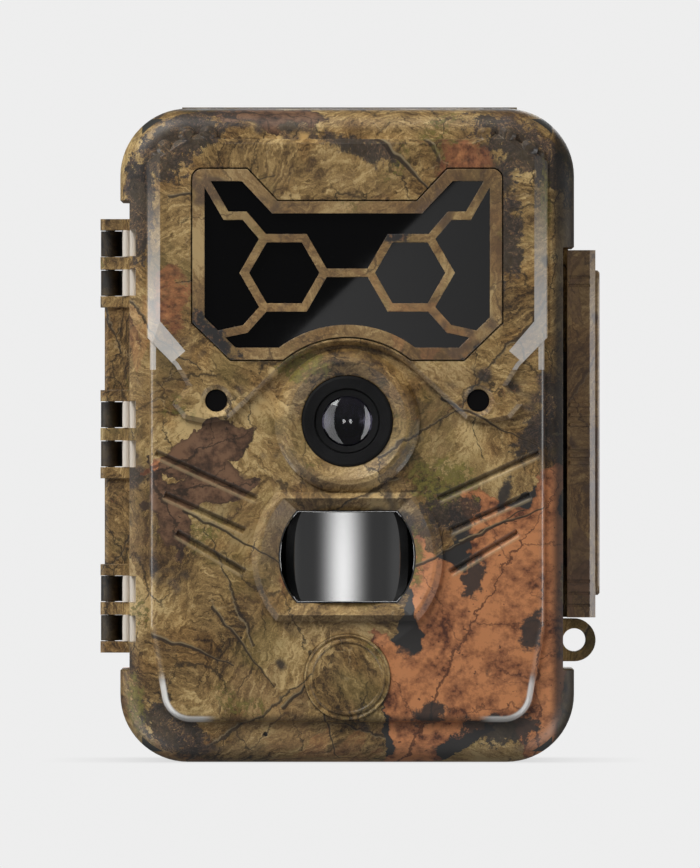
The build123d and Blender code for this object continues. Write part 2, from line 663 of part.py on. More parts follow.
def pir_retainer():
    """Frame that holds the motion window's flange against the wall."""
    y0 = INNER_FACE_Y + 1.45
    frame = block(-19.5, 19.5, y0, y0 + 1.6, PIR_Z - 14.5, PIR_Z + 14.5)
    frame -= block(-13.5, 13.5, y0 - 1, y0 + 3, PIR_Z - 9.0, PIR_Z + 9.0)
    for side in (-1, 1):
        frame -= rod_y(side * 17.0, PIR_Z + 12.0, SCREW_R + SCREW_SLACK, y0 - 1, y0 + 3)
    return frame


def pir_sensor():
    """Metal-can motion sensor with its square window."""
    can = rod_y(0, PIR_Z, 4.6, PIR_BOARD_Y - 0.8, PIR_BOARD_Y - 0.02)
    can += rod_y(0, PIR_Z, 4.1, PIR_BOARD_Y - 4.2, PIR_BOARD_Y - 0.8)
    return can - block(-2.0, 2.0, PIR_BOARD_Y - 5, PIR_BOARD_Y - 3.9, PIR_Z - 1.5, PIR_Z + 1.5)


def pir_board():
    """Small board behind the motion sensor."""
    return slab(panel_sketch(28, 20, 1.5, PIR_Z), PIR_BOARD_Y + 1.2, PIR_BOARD_Y)


def eyelet_window(side):
    """Dark plug in an eyelet, with a flange inside."""
    front = PLATEAU_Y + 1.1
    x = side * EYELET_X
    return turned(x, EYELET_Z, [(0, front), (EYELET_R - 0.08, front),
                                (EYELET_R - 0.08, INNER_PANEL_Y + 0.05),
                                (3.6, INNER_PANEL_Y + 0.05), (3.6, INNER_PANEL_Y + 1.0),
                                (0, INNER_PANEL_Y + 1.0)])


def emblem_disc():
    """Plain medallion with raised rings."""
    back, front = PANEL_Y + 0.95, PANEL_Y - 0.1
    ring = front - 0.35
    return turned(0, EMBLEM_Z, [(0, back), (EMBLEM_R, back), (EMBLEM_R, ring), (8.8, ring),
                                (8.6, front), (8.2, front), (8.0, ring), (7.5, ring),
                                (7.3, front), (0, front - 0.5)])


# ---------------------------------------------------------------- electronics
def led_places():
    """Lamp positions: a triangular grid inside the window, clear of the lens arch."""
    places = []
    for row in range(LED_ROWS):
        z = LED_LOW_Z + row * LED_PITCH * 0.9
        shift = LED_PITCH / 2 if row % 2 else 0.0
        for step in range(-5, 6):
            x = step * LED_PITCH + shift
            in_arch = math.hypot(x, z - LENS_Z) < 18.0 + LED_R + 1.6
            in_step = z > 116 and abs(x) < 21.0
            in_corner = z < 95 and abs(x) > 23.0
            if abs(x) < 28.0 and not (in_arch or in_step or in_corner):
                places.append((x, z))
    return places


def infrared_leds():
    """Round-nosed lamps, one solid each."""
    lamps = []
    for x, z in led_places():
        tip = LED_BOARD_Y - 7.0
        lamp = rod_y(x, z, LED_R, tip + LED_R, LED_BOARD_Y)
        lamp += Pos(x, tip + LED_R, z) * Sphere(LED_R)
        lamps.append(lamp + rod_y(x, z, LED_R + 0.4, LED_BOARD_Y - 1.0, LED_BOARD_Y - 0.02)
                     - block(x - 4, x + 4, LED_BOARD_Y - 0.02, LED_BOARD_Y + 4, z - 4, z + 4))
    return group(lamps)


def led_board():
    """Board that carries the lamps."""
    board = slab(panel_sketch(83.0, 36.0, 2.0, 106.5), LED_BOARD_Y + BOARD_THICK, LED_BOARD_Y)
    board -= rod_y(0, LENS_Z, 18.2, LED_BOARD_Y - 1, LED_BOARD_Y + 3)
    for x, z in LED_BOARD_POSTS:
        board -= rod_y(x, z, SCREW_R + SCREW_SLACK, LED_BOARD_Y - 1, LED_BOARD_Y + 3)
    return board


def main_board():
    """Main circuit board, cut away for the upper panel posts and the ports."""
    front = MAIN_BOARD_Y - BOARD_THICK
    board = slab(panel_sketch(82.0, 82.0, 2.0, 47.0), MAIN_BOARD_Y, front)
    for x, z in KEYPANEL_POSTS:
        board -= rod_y(x, z, POST_R + 0.6, front - 1, MAIN_BOARD_Y + 1)
    for x, z in MAIN_BOARD_POSTS:
        board -= rod_y(x, z, SCREW_R + SCREW_SLACK, front - 1, MAIN_BOARD_Y + 1)
    return board


def board_chips():
    """Packages on the front of the main board."""
    front = MAIN_BOARD_Y - BOARD_THICK
    chips = [block(x - w / 2, x + w / 2, front - tall, front - 0.02, z - h / 2, z + h / 2)
             for x, z, w, h, tall in CHIPS]
    return group(chips)


def microphone():
    """Electret capsule behind the sound hole."""
    return rod_y(SOUND_HOLE_X, SOUND_HOLE_Z + 0.4, 3.0, INNER_FACE_Y + 0.05, INNER_FACE_Y + 2.4)


def speaker():
    """Small round loudspeaker on the front of the housing floor."""
    cone = turned(-29.5, 22.5, [(0, -41.2), (4.0, -41.2), (8.6, -43.4), (10.0, -43.4),
                                (10.0, -41.6), (6.2, -39.4), (6.2, -38.0), (0, -38.0)])
    return cone


def tact_switches():
    """Key switches on the back of the main board, one solid each."""
    switches = []
    for x, z in KEYS.values():
        body = block(x - 3, x + 3, MAIN_BOARD_Y + 0.02, MAIN_BOARD_Y + 3.5, z - 3, z + 3)
        switches.append(body + rod_y(x, z, 1.7, MAIN_BOARD_Y + 3.5, MAIN_BOARD_Y + 4.2))
    return group(switches)


# ---------------------------------------------------------------- inner panel
def card_pocket():
    """Tub that the memory card slides out into, open to the user."""
    z0, z1 = CARD_Z - CARD_W / 2 - 1.6, CARD_Z + CARD_W / 2 + 1.6
    back = KEYPANEL_Y - KEYPANEL_THICK
    tub = block(POCKET_X[0] - 1, POCKET_X[1] + 1, POCKET_FLOOR_Y - 0.9, back + 0.5, z0 - 1, z1 + 1)
    return tub, block(*POCKET_X, POCKET_FLOOR_Y, KEYPANEL_Y + 1, z0, z1)


def inner_panel():
    """Panel that closes the front housing and carries screen, keys and card slot."""
    back = KEYPANEL_Y - KEYPANEL_THICK
    panel = slab(panel_sketch(KEYPANEL_W, KEYPANEL_H, KEYPANEL_R), KEYPANEL_Y, back)
    tub, hollow = card_pocket()
    panel += tub
    panel -= hollow
    mouth_z0, mouth_z1 = CARD_Z - CARD_W / 2 - 0.5, CARD_Z + CARD_W / 2 + 0.5
    panel -= block(POCKET_X[1] - 0.5, POCKET_X[1] + 2, CARD_Y - CARD_THICK - 0.4, CARD_Y + 0.4,
                   mouth_z0, mouth_z1)
    panel -= block(-SCREEN_W / 2, SCREEN_W / 2, back - 1, KEYPANEL_Y + 1,
                   SCREEN_Z - SCREEN_H / 2, SCREEN_Z + SCREEN_H / 2)
    panel -= slab(panel_sketch(SCREEN_W + 6.4, SCREEN_H + 6.4, 2.2, SCREEN_Z), KEYPANEL_Y + 1,
                  KEYPANEL_Y - 1.1)
    for x, z in KEYS.values():
        panel -= rod_y(x, z, KEY_R + KEY_CLEAR, back - 1, KEYPANEL_Y + 1)
    panel -= block(SWITCH_X - 2.4 - SWITCH_TRAVEL, SWITCH_X + 2.4 + SWITCH_TRAVEL, back - 1,
                   KEYPANEL_Y + 1, SWITCH_Z - 2.2, SWITCH_Z + 2.2)
    for x, z in KEYPANEL_POSTS:
        panel -= rod_y(x, z, SCREW_R + SCREW_SLACK, back - 1, KEYPANEL_Y + 1)
        panel -= rod_y(x, z, SCREW_HEAD_R + 0.3, KEYPANEL_Y - 0.9, KEYPANEL_Y + 1)
    return panel


def screen_window():
    """Clear pane over the screen."""
    return slab(panel_sketch(SCREEN_W + 6.0, SCREEN_H + 6.0, 2.0, SCREEN_Z), KEYPANEL_Y,
                KEYPANEL_Y - 1.05)


def lcd_module():
    """Screen module behind its pane."""
    y1 = KEYPANEL_Y - KEYPANEL_THICK - 0.05
    return block(-29.0, 29.0, y1 - 3.2, y1, SCREEN_Z - 22.0, SCREEN_Z + 22.0)


def key_cap(x, z):
    """Round key with a flange behind the panel and a domed top."""
    back = KEYPANEL_Y - KEYPANEL_THICK
    top = KEYPANEL_Y + KEY_PROUD
    return turned(x, z, [(0, back - 1.0), (KEY_R + 0.9, back - 1.0), (KEY_R + 0.9, back - 0.05),
                         (KEY_R, back - 0.05), (KEY_R, top - 0.4), (KEY_R - 0.5, top),
                         (1.6, top), (1.2, top - 0.3), (0, top - 0.35)])


def mode_switch_knob():
    """Ribbed thumb slider of the mode switch."""
    back = KEYPANEL_Y - KEYPANEL_THICK
    knob = block(SWITCH_X - 2.2, SWITCH_X + 2.2, back - 1.4, KEYPANEL_Y + 1.2, SWITCH_Z - 1.95,
                 SWITCH_Z + 1.95)
    for step in (-1.2, 0, 1.2):
        x = SWITCH_X + step
        knob -= block(x - 0.25, x + 0.25, KEYPANEL_Y + 0.8, KEYPANEL_Y + 2, SWITCH_Z - 3,
                      SWITCH_Z + 3)
    return knob


def mode_switch_body():
    """Metal case of the slide switch on the main board."""
    y0 = MAIN_BOARD_Y + 0.02
    return block(SWITCH_X - 6.5, SWITCH_X + 6.5, y0, KEYPANEL_Y - KEYPANEL_THICK - 1.6,
                 SWITCH_Z - 3.2, SWITCH_Z + 3.2)


def sd_card():
    """Memory card with its clipped corner and ribbed end."""
    z0, z1 = CARD_Z - CARD_W / 2, CARD_Z + CARD_W / 2
    x1 = CARD_REST_X + CARD_L
    card = block(CARD_REST_X, x1, CARD_Y - CARD_THICK, CARD_Y, z0, z1)
    corner = outline_sketch([(x1 + 1, z0 - 1), (x1 - 5, z0 - 1), (x1 + 1, z0 + 5)])
    card -= slab(corner, CARD_Y + 1, CARD_Y - CARD_THICK - 1)
    return card - block(CARD_REST_X + 1.2, CARD_REST_X + 1.9, CARD_Y - 0.3, CARD_Y + 1, z0 + 4,
                        z1 - 4)


def sd_socket():
    """Metal-shelled card socket behind the panel."""
    x0, x1 = POCKET_X[1] + 1.3, CARD_REST_X + CARD_L + 1.6
    y0, y1 = CARD_Y - CARD_THICK - 0.9, CARD_Y + 0.55
    z0, z1 = CARD_Z - CARD_W / 2 - 1.2, CARD_Z + CARD_W / 2 + 1.2
    socket = block(x0, x1, y0, y1, z0, z1)
    return socket - block(x0 - 1, x1 - 0.9, CARD_Y - CARD_THICK - 0.15, CARD_Y + 0.15, z0 + 0.9,
                          z1 - 0.9)


def usb_socket():
    """Small data socket that faces down."""
    x, y = USB_X, SOCKET_Y
    shell = block(x - 3.9, x + 3.9, y - 2.0, y + 2.0, 4.7, 14.0)
    return shell - block(x - 3.4, x + 3.4, y - 1.5, y + 1.5, 4.0, 12.5)


def dc_jack():
    """Charging jack that faces down."""
    x, y = JACK_X, SOCKET_Y
    jack = block(x - 4.5, x + 4.5, y - 4.5, y + 4.5, 4.7, 18.0)
    return jack - rod_z(x, y, 3.0, 4.0, 15.0) + rod_z(x, y, 0.65, 5.2, 15.5)


# ---------------------------------------------------------------- back housing
def strap_bracket():
    """Bridge on the back that a strap runs through from side to side."""
    bridge = block(-STRAP_X, STRAP_X, BACK_Y - 1, STRAP_Y, *STRAP_Z)
    bridge = fillet(bridge.edges().filter_by(Axis.X).sort_by(Axis.Y)[-2:], 2.0)
    bridge = fillet(bridge.edges().filter_by(Axis.Z).sort_by(Axis.Y)[-2:], 1.5)
    return bridge - block(-60, 60, *STRAP_SLOT_Y, *STRAP_SLOT_Z)


def tree_foot(z):
    """Ribbed bar that grips a trunk."""
    bar = block(-30, 30, BACK_Y - 1, FOOT_Y, z - 4, z + 4)
    vee = Polyline((-22, FOOT_Y), (22, FOOT_Y), (0, FOOT_Y - 2.4), close=True)
    bar -= Pos(0, 0, z - 5) * extrude(make_face(vee), 10, dir=(0, 0, 1))
    for step in range(-9, 10):
        y = FOOT_Y - 2.4 * max(0.0, 1 - abs(step) * 3.0 / 22)
        bar -= Pos(step * 3.0, y, z) * Rot(0, 0, 45) * Box(0.9, 0.9, 10)
    return bar


def seal_ledge():
    """Shelf inside the back housing's rim that carries the seal."""
    ring = panel_sketch(CAVITY_W + 1, CAVITY_H + 1, CAVITY_R) - panel_sketch(
        CAVITY_W - 6, CAVITY_H - 6, CAVITY_R - 3)
    return slab(ring, SPLIT_Y + 4.6, SPLIT_Y + 2.7)


def latch_lugs():
    """Lugs on the back housing that carry the latch's pin."""
    lugs = Part()
    for z0, z1 in LATCH_LUG_Z:
        lugs += rod_z(LATCH_X, LATCH_Y, LATCH_KNUCKLE_R - 0.3, z0, z1)
        lugs += block(LATCH_WALL_X - 1, LATCH_X, LATCH_Y - 1.3, LATCH_Y + 1.2, z0, z1)
    return lugs - rod_z(LATCH_X, LATCH_Y, PIN_R + 0.02, LATCH_Z[0], LATCH_Z[1])


def back_knuckles():
    """The back housing's six hinge knuckles."""
    made = Part()
    for z0, z1 in hinge_pockets():
        low, high = z0 + KNUCKLE_GAP, z1 - KNUCKLE_GAP
        made += rod_z(HINGE_X, HINGE_Y, KNUCKLE_R, low, high)
        made += block(HINGE_X, HINGE_WALL_X + 1, HINGE_Y + 0.1, HINGE_Y + KNUCKLE_R, low, high)
    return made - rod_z(HINGE_X, HINGE_Y, PIN_R + 0.02, FLANGE_Z[0], FLANGE_Z[1])


def back_shell():
    """Back housing: battery compartment, hinge knuckles, latch lugs, strap bridge."""
    shell = housing_block(BACK_Y, SPLIT_Y, BACK_Y, BACK_RIM_R)
    shell -= slab(panel_sketch(CAVITY_W, CAVITY_H, CAVITY_R), INNER_BACK_Y, SPLIT_Y)
    shell += seal_ledge() + back_knuckles() + latch_lugs() + strap_bracket()
    shell += tree_foot(FOOT_Z[0]) + tree_foot(FOOT_Z[1])
    shell += padlock_lug(SPLIT_Y + MEETING_GAP + EYE_THICK, SPLIT_Y + MEETING_GAP)
    shell += posts(TRAY_SCREWS, INNER_BACK_Y + 1, -4.0, POST_R)
    shell += rod_z(0, 0, TRIPOD_NUT_R + 2.0, 1.0, TRIPOD_NUT_H + 1.5)
    return shell - rod_z(0, 0, TRIPOD_NUT_R + 0.03, -1, TRIPOD_NUT_H + 0.05)


def tripod_insert():
    """Threaded brass insert, its wall at the thread's core diameter."""
    insert = rod_z(0, 0, TRIPOD_NUT_R, 0, TRIPOD_NUT_H)
    return insert - rod_z(0, 0, TRIPOD_THREAD_R, -1, TRIPOD_NUT_H - 1.0)


def door_seal():
    """Rubber ring on the back housing's shelf."""
    ring = panel_sketch(CAVITY_W - 0.4, CAVITY_H - 0.4, CAVITY_R - 0.2) - panel_sketch(
        CAVITY_W - 5.0, CAVITY_H - 5.0, CAVITY_R - 2.5)
    return slab(ring, SPLIT_Y + 2.65, SPLIT_Y + 0.1)


def hinge_pins():
    """One steel pin for each knuckle group."""
    half = HINGE_GROUP_H / 2 - 0.3
    pins = [rod_z(HINGE_X, HINGE_Y, PIN_R, z - half, z + half) for z in HINGE_GROUP_Z]
    return group(pins)


def cell_places():
    """(x, z centre, direction) of each cell; direction +1 has its nub upwards."""
    inside = TRAY_Z[0] + TRAY_WALL, TRAY_Z[1] - TRAY_WALL
    middle = (inside[0] + inside[1]) / 2
    places = []
    for column in range(CELL_COLUMNS):
        x = (column - (CELL_COLUMNS - 1) / 2) * CELL_PITCH
        up = 1 if column % 2 else -1
        for low, high, sign in ((inside[0], middle - 0.75, up), (middle + 0.75, inside[1], -up)):
            places.append((x, low, high, sign))
    return places


def battery_tray():
    """Open tray with a wall between the two banks and low ribs between cells."""
    half_w = CELL_COLUMNS * CELL_PITCH / 2 + 0.3 + TRAY_WALL
    tray = block(-half_w, half_w, TRAY_FRONT_Y, TRAY_FLOOR_Y, *TRAY_Z)
    middle = (TRAY_Z[0] + TRAY_Z[1]) / 2
    for low, high in ((TRAY_Z[0] + TRAY_WALL, middle - 0.75), (middle + 0.75, TRAY_Z[1] - TRAY_WALL)):
        tray -= block(-half_w + TRAY_WALL, half_w - TRAY_WALL, TRAY_FRONT_Y - 1,
                      TRAY_FLOOR_Y - TRAY_WALL, low, high)
    for gap in range(1, CELL_COLUMNS):
        x = (gap - CELL_COLUMNS / 2) * CELL_PITCH
        tray += block(x - 0.35, x + 0.35, -4.4, TRAY_FLOOR_Y - 1, TRAY_Z[0] + 1, TRAY_Z[1] - 1)
    for x, z in TRAY_SCREWS:
        side = 1 if x > 0 else -1
        inner, outer = side * (half_w - 1), x + side * 3.0
        tray += block(min(inner, outer), max(inner, outer), -6.4, -4.02, z - 3.5, z + 3.5)
        tray -= rod_y(x, z, SCREW_R + SCREW_SLACK, -8, -3)
    return tray


def batteries():
    """AA cells, alternating, one solid each."""
    cells = []
    for x, low, high, sign in cell_places():
        base = low + CONTACT_THICK + 4.9 if sign > 0 else high - CONTACT_THICK - 4.9
        ends = sorted((base, base + sign * CELL_L))
        nub = sorted((base + sign * CELL_L, base + sign * (CELL_L + NUB_L)))
        cells.append(rod_z(x, CELL_Y, CELL_R, *ends) + rod_z(x, CELL_Y, NUB_R, *nub))
    return group(cells)


def battery_springs():
    """Conical springs against the cells' flat ends."""
    springs = []
    height = 4.2
    for x, low, high, sign in cell_places():
        start = low + CONTACT_THICK + 0.35 if sign > 0 else high - CONTACT_THICK - 0.35
        path = Edge.make_helix(height / 3.5, height, SPRING_R + 1.6, angle=-20)
        ring = Plane(origin=path @ 0, z_dir=path % 0) * Circle(SPRING_WIRE_R)
        coil = sweep(ring, path=path)
        flip = Pos(x, CELL_Y, start) * (Rot(0, 0, 0) if sign > 0 else Rot(180, 0, 0))
        springs.append(flip * coil)
    return group(springs)


def battery_contacts():
    """Plated strips at both ends of each bank, one for each pair of cells."""
    strips = []
    for x, low, high, sign in cell_places():
        half = CELL_PITCH / 2 - 0.9
        for end in (low + 0.02, high - CONTACT_THICK - 0.02):
            strips.append(block(x - half, x + half, CELL_Y - 6.2, CELL_Y + 6.2, end,
                                end + CONTACT_THICK))
    return group(strips)


def power_pin_block():
    """Moulded block that carries the spring-loaded power pins."""
    return block(-40.6, -32.65, -13.0, -6.0, 62.0, 78.0)


POWER_PINS_Z = (65.5, 70.0, 74.5)
POWER_X = -38.7


def power_pins():
    """Gold-plated pins that carry battery power across the split."""
    pins = []
    for z in POWER_PINS_Z:
        pin = rod_y(POWER_X, z, 0.9, -17.6, -13.02) + rod_y(POWER_X, z, 0.55, -18.7, -17.6)
        pins.append(pin)
    return group(pins)


def contact_pads():
    """Plated pads on the inner panel that the power pins touch."""
    pads = [rod_y(POWER_X, z, 1.5, KEYPANEL_Y + 0.02, KEYPANEL_Y + 0.22) for z in POWER_PINS_Z]
    return group(pads)


# ---------------------------------------------------------------- latch
def latch_gaps():
    """Height ranges of the latch's own knuckles, between the housing's lugs."""
    (_, a), (b, c), (d, _) = LATCH_LUG_Z
    return [(a + 0.3, b - 0.3), (c + 0.3, d - 0.3)]


def latch_cover():
    """Outer layer of the lever: a plate with rounded edges and grip ribs."""
    plate = block(LATCH_OUTER_X - 0.5, LATCH_COVER_X, LATCH_FRONT_Y + 1.2, LATCH_BACK_Y - 1.5,
                  *LATCH_COVER_Z)
    plate = fillet(plate.edges().filter_by(Axis.X), 2.0)
    plate = chamfer(plate.faces().sort_by(Axis.X)[-1].edges(), 0.4)
    for step in range(5):
        y = LATCH_FRONT_Y + 3.4 + step * 1.5
        plate -= block(LATCH_COVER_X - 0.35, LATCH_COVER_X + 1, y - 0.35, y + 0.35,
                       LATCH_COVER_Z[0] + 10, LATCH_COVER_Z[1] - 10)
    return plate


def latch_lever():
    """Lever whose front lip hooks over the keeper."""
    wall = LATCH_OUTER_X - LATCH_PLATE
    lever = block(wall, LATCH_OUTER_X, LATCH_FRONT_Y, LATCH_BACK_Y, *LATCH_Z)
    lever += block(LATCH_INNER_X, LATCH_OUTER_X, LATCH_FRONT_Y, LATCH_FRONT_Y + LATCH_LIP, *LATCH_Z)
    outer = lever.edges().filter_by(Axis.Z).sort_by(Axis.X)[-2:].sort_by(Axis.Y)
    lever = chamfer(outer[0], LATCH_BEVEL) + latch_cover()
    for z0, z1 in latch_gaps():
        lever += rod_z(LATCH_X, LATCH_Y, LATCH_KNUCKLE_R, z0, z1)
        lever += block(LATCH_X, wall + 0.5, LATCH_Y - LATCH_KNUCKLE_R, LATCH_Y + LATCH_KNUCKLE_R,
                       z0, z1)
    lever -= rod_z(LATCH_X, LATCH_Y, PIN_R + RUNNING_GAP, LATCH_Z[0] - 1, LATCH_Z[1] + 1)
    for z in LATCH_RIBS_Z:
        lever += block(LATCH_INNER_X + 0.6, LATCH_OUTER_X - 1.2, LATCH_FRONT_Y - 0.4,
                       LATCH_FRONT_Y + 0.5, z - 0.4, z + 0.4)
    for z in LATCH_NOTCHES_Z:
        lever -= block(LATCH_INNER_X - 1, LATCH_OUTER_X - 1.2, LATCH_FRONT_Y - 1,
                       LATCH_FRONT_Y + 0.35, z - 0.3, z + 0.3)
    return lever


def latch_pin():
    """Steel pin of the latch."""
    return rod_z(LATCH_X, LATCH_Y, PIN_R, LATCH_LUG_Z[0][0] - 2, LATCH_LUG_Z[-1][1] + 2)


# ---------------------------------------------------------------- fasteners
def panel_screws():
    """Screws of the inner panel."""
    made = [screw(x, z, KEYPANEL_Y - 0.9, 8.0) for x, z in KEYPANEL_POSTS]
    return group(made)


def board_screws():
    """Screws of the lamp board and the main board."""
    made = [screw(x, z, LED_BOARD_Y + BOARD_THICK, 3.5) for x, z in LED_BOARD_POSTS]
    made += [screw(x, z, MAIN_BOARD_Y, 6.0) for x, z in MAIN_BOARD_POSTS]
    return group(made)


def tray_screws():
    """Screws of the battery tray."""
    made = [screw(x, z, -6.4, 8.0, points_back=True) for x, z in TRAY_SCREWS]
    return group(made)


def nodes():
    """Every sub-part by name."""
    made = {
        "front_shell": front_shell(),
        "lamp_window_frame": lamp_frame(),
        "lamp_window": lamp_window(),
        "lens_bezel": lens_bezel(),
        "lens_window": lens_window(),
        "lens_barrel": lens_barrel(),
        "lens_element": lens_element(),
        "lens_holder": lens_holder(),
        "ir_cut_slider": ir_cut_slider(),
        "image_sensor": image_sensor(),
        "sensor_board": sensor_board(),
        "pir_lens": pir_lens(),
        "pir_retainer": pir_retainer(),
        "pir_sensor": pir_sensor(),
        "pir_board": pir_board(),
        "indicator_lens": eyelet_window(-1),
        "light_sensor_window": eyelet_window(1),
        "emblem_disc": emblem_disc(),
        "led_board": led_board(),
        "infrared_leds": infrared_leds(),
        "main_board": main_board(),
        "board_chips": board_chips(),
        "microphone": microphone(),
        "speaker": speaker(),
        "tact_switches": tact_switches(),
        "inner_panel": inner_panel(),
        "screen_window": screen_window(),
        "lcd_module": lcd_module(),
        "mode_switch_knob": mode_switch_knob(),
        "mode_switch_body": mode_switch_body(),
        "sd_card": sd_card(),
        "sd_socket": sd_socket(),
        "usb_socket": usb_socket(),
        "dc_jack": dc_jack(),
        "port_cover": port_cover(),
        "keeper_clip": keeper_clip(),
        "contact_pads": contact_pads(),
        "panel_screws": panel_screws(),
        "board_screws": board_screws(),
        "back_shell": back_shell(),
        "tripod_insert": tripod_insert(),
        "door_seal": door_seal(),
        "hinge_pins": hinge_pins(),
        "battery_tray": battery_tray(),
        "batteries": batteries(),
        "battery_springs": battery_springs(),
        "battery_contacts": battery_contacts(),
        "tray_screws": tray_screws(),
        "power_pin_block": power_pin_block(),
        "power_pins": power_pins(),
        "latch_lever": latch_lever(),
        "latch_pin": latch_pin(),
    }
    for name, (x, z) in KEYS.items():
        made[name] = key_cap(x, z)
    return made


os.makedirs("parts", exist_ok=True)
for node_name, node_shape in nodes().items():
    export_step(node_shape, f"parts/{node_name}.step")
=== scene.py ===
import math

import bpy
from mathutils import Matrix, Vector


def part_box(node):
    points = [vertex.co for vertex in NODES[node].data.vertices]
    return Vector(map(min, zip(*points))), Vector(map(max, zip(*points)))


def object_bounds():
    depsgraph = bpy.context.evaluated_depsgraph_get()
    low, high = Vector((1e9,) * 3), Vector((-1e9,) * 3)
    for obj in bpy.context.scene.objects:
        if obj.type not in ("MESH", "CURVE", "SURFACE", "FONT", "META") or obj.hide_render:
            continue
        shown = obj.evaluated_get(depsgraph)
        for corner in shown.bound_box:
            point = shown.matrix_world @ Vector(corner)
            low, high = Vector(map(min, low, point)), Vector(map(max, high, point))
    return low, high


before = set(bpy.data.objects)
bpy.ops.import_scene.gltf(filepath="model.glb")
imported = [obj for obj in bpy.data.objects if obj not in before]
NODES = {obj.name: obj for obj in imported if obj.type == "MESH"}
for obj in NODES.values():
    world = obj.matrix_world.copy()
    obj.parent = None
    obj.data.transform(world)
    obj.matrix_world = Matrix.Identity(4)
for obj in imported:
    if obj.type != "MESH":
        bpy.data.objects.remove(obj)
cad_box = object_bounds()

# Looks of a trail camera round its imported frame. Blender's units are metres; film and
# material sizes are given in millimetres, and the shaders scale object coordinates to suit.

MM = 0.001

# ---------------------------------------------------------------- picture and studio
VIEW_HEIGHT = 0.1855  # height of the picture at the front of the object
CAMERA_DISTANCE = 4.0  # from the front of the object
SENSOR_HEIGHT = 36.0
BACKGROUND = 0.853  # radiance of the pale surroundings
FILL = 0.14  # what the object itself sees of them

LOW, HIGH = (Vector(corner) for corner in cad_box)
CENTRE = (LOW + HIGH) / 2
CAMERA_Y = LOW.y - CAMERA_DISTANCE

# ---------------------------------------------------------------- the two housings, mm
HALF_W, HALF_H, CORNER_R = 48.6, 70.0, 14.5
MID_Z = 70.0
FACE_Y = -48.0
SPLIT_Y = -17.0
CAVITY_HALF_W, CAVITY_HALF_H = 43.9, 67.7
CAVITY_MID_Y, CAVITY_HALF_DEPTH = -18.1, 28.2
BACK_FACE_NORMAL = 0.7  # surfaces that face back more than this take the film's back half
BACK_FILM_X, BACK_FILM_Z = 231.0, 37.0  # where on the film that half lies
HINGE_CENTRES = (32.7, 70.2, 107.0)
# The back housing's hinge knuckles are painted black: painted shade in the hinge's pockets.
KNUCKLES_HALF_H, KNUCKLES_BACK_Y = 48.0, -11.0  # the back housing's black knuckles
# Beads in the hinge's pockets, which take a pale painted highlight: height off the group's
# middle, half height, x, half width and rearmost y.
BEAD_OFF, BEAD_HALF_H, BEAD_X, BEAD_HALF_W, BEAD_BACK_Y = 4.22, 2.86, -46.9, 1.62, -24.9
LENS_Z = 73.0
PIR_Z, PIR_R, PIR_HALF_H = 44.0, 14.4, 9.7  # motion window
# Sloping mouths in the right half of the front: centre (x, z) and radius.
MOUTHS = ((0.0, LENS_Z, 15.0), (0.0, PIR_Z, 20.9), (28.0, 77.4, 3.9))
FACET_X, FACET_LOW_Z, FACET_HIGH_Z = 33.5, 84.0, 129.0  # the facets lie beyond and between
PANEL_CORNER = (36.6, 11.2)  # lower right corner of the lower panel
# Right-hand gills, as pairs of (x, z) ends.
GILLS = (((41.0, 66.2), (19.4, 56.4)), ((39.1, 57.3), (21.9, 49.5)), ((36.5, 49.2), (21.9, 40.6)))
GILLS_BACK_Y = -45.0
# Lines beside the gills, painted shade in the groove and a painted highlight on the lip: distance
# above the middle, and how far off they are faint and full.
GILL_PAINTED_SHADE, GILL_PAINTED_HIGHLIGHT = (0.15, 0.95, 0.35), (-1.0, 0.55, 0.1)
MEETING_EDGE = 0.12  # bare band on each side of the split
WELL_GAP_Z, WELL_GAP_R = 0.25, 0.3  # round the motion window
# A face of the front housing in front of INNER_FACE_Y that faces back this much is an inside one.
INNER_FACE_NORMAL, INNER_FACE_Y = 0.6, -30.0
FLAT_FRONT_NORMAL = -0.95
FACET_BACK_Y = -49.2

# Bands in millimetres, from where a mark isn't there to where it is full.
# CORNER_REACH and the two ROUNDING bands place the painted highlight on the panel's corners.
CORNER_REACH = (9.0, 5.5)  # distance from the panel's corner
ROUNDING_FRONT, ROUNDING_BACK = (-50.38, -50.24), (-48.9, -49.4)  # the panel's rounded edge, y
# The front housing's right side behind the rim and its top are darkened with painted shade.
PAINTED_SHADE_SIDE_X, PAINTED_SHADE_SIDE_Y, PAINTED_SHADE_TOP_Z = (43.0, 45.2), (-36.0, -41.0), (139.3, 139.8)
KNUCKLES_X = (-47.4, -47.8)
RIM_Y = (-48.6, -48.2)
SIDE_PAINTED_SHADE, TOP_PAINTED_SHADE = 0.85, 0.7  # how black those parts are
CELL_PITCH = 15.4  # from one battery to the next

COAT = 0.45  # clear lacquer over the film
# How dull the film has gone: at 0.6 the lacquer is worn off.
RIM_DULL = 0.6  # the front housing's rim and sides
FACET_DULL = 0.34  # the wide facets of the upper panel
BACK_DULL = 0.4  # the back housing

VECTOR, FLOAT, COLOUR = "NodeSocketVector", "NodeSocketFloat", "NodeSocketColor"


def srgb(red, green, blue):
    """A linear colour from display values of 0 to 255."""
    def linear(value):
        share = value / 255
        return share / 12.92 if share <= 0.04045 else ((share + 0.055) / 1.055) ** 2.4
    return (linear(red), linear(green), linear(blue), 1.0)


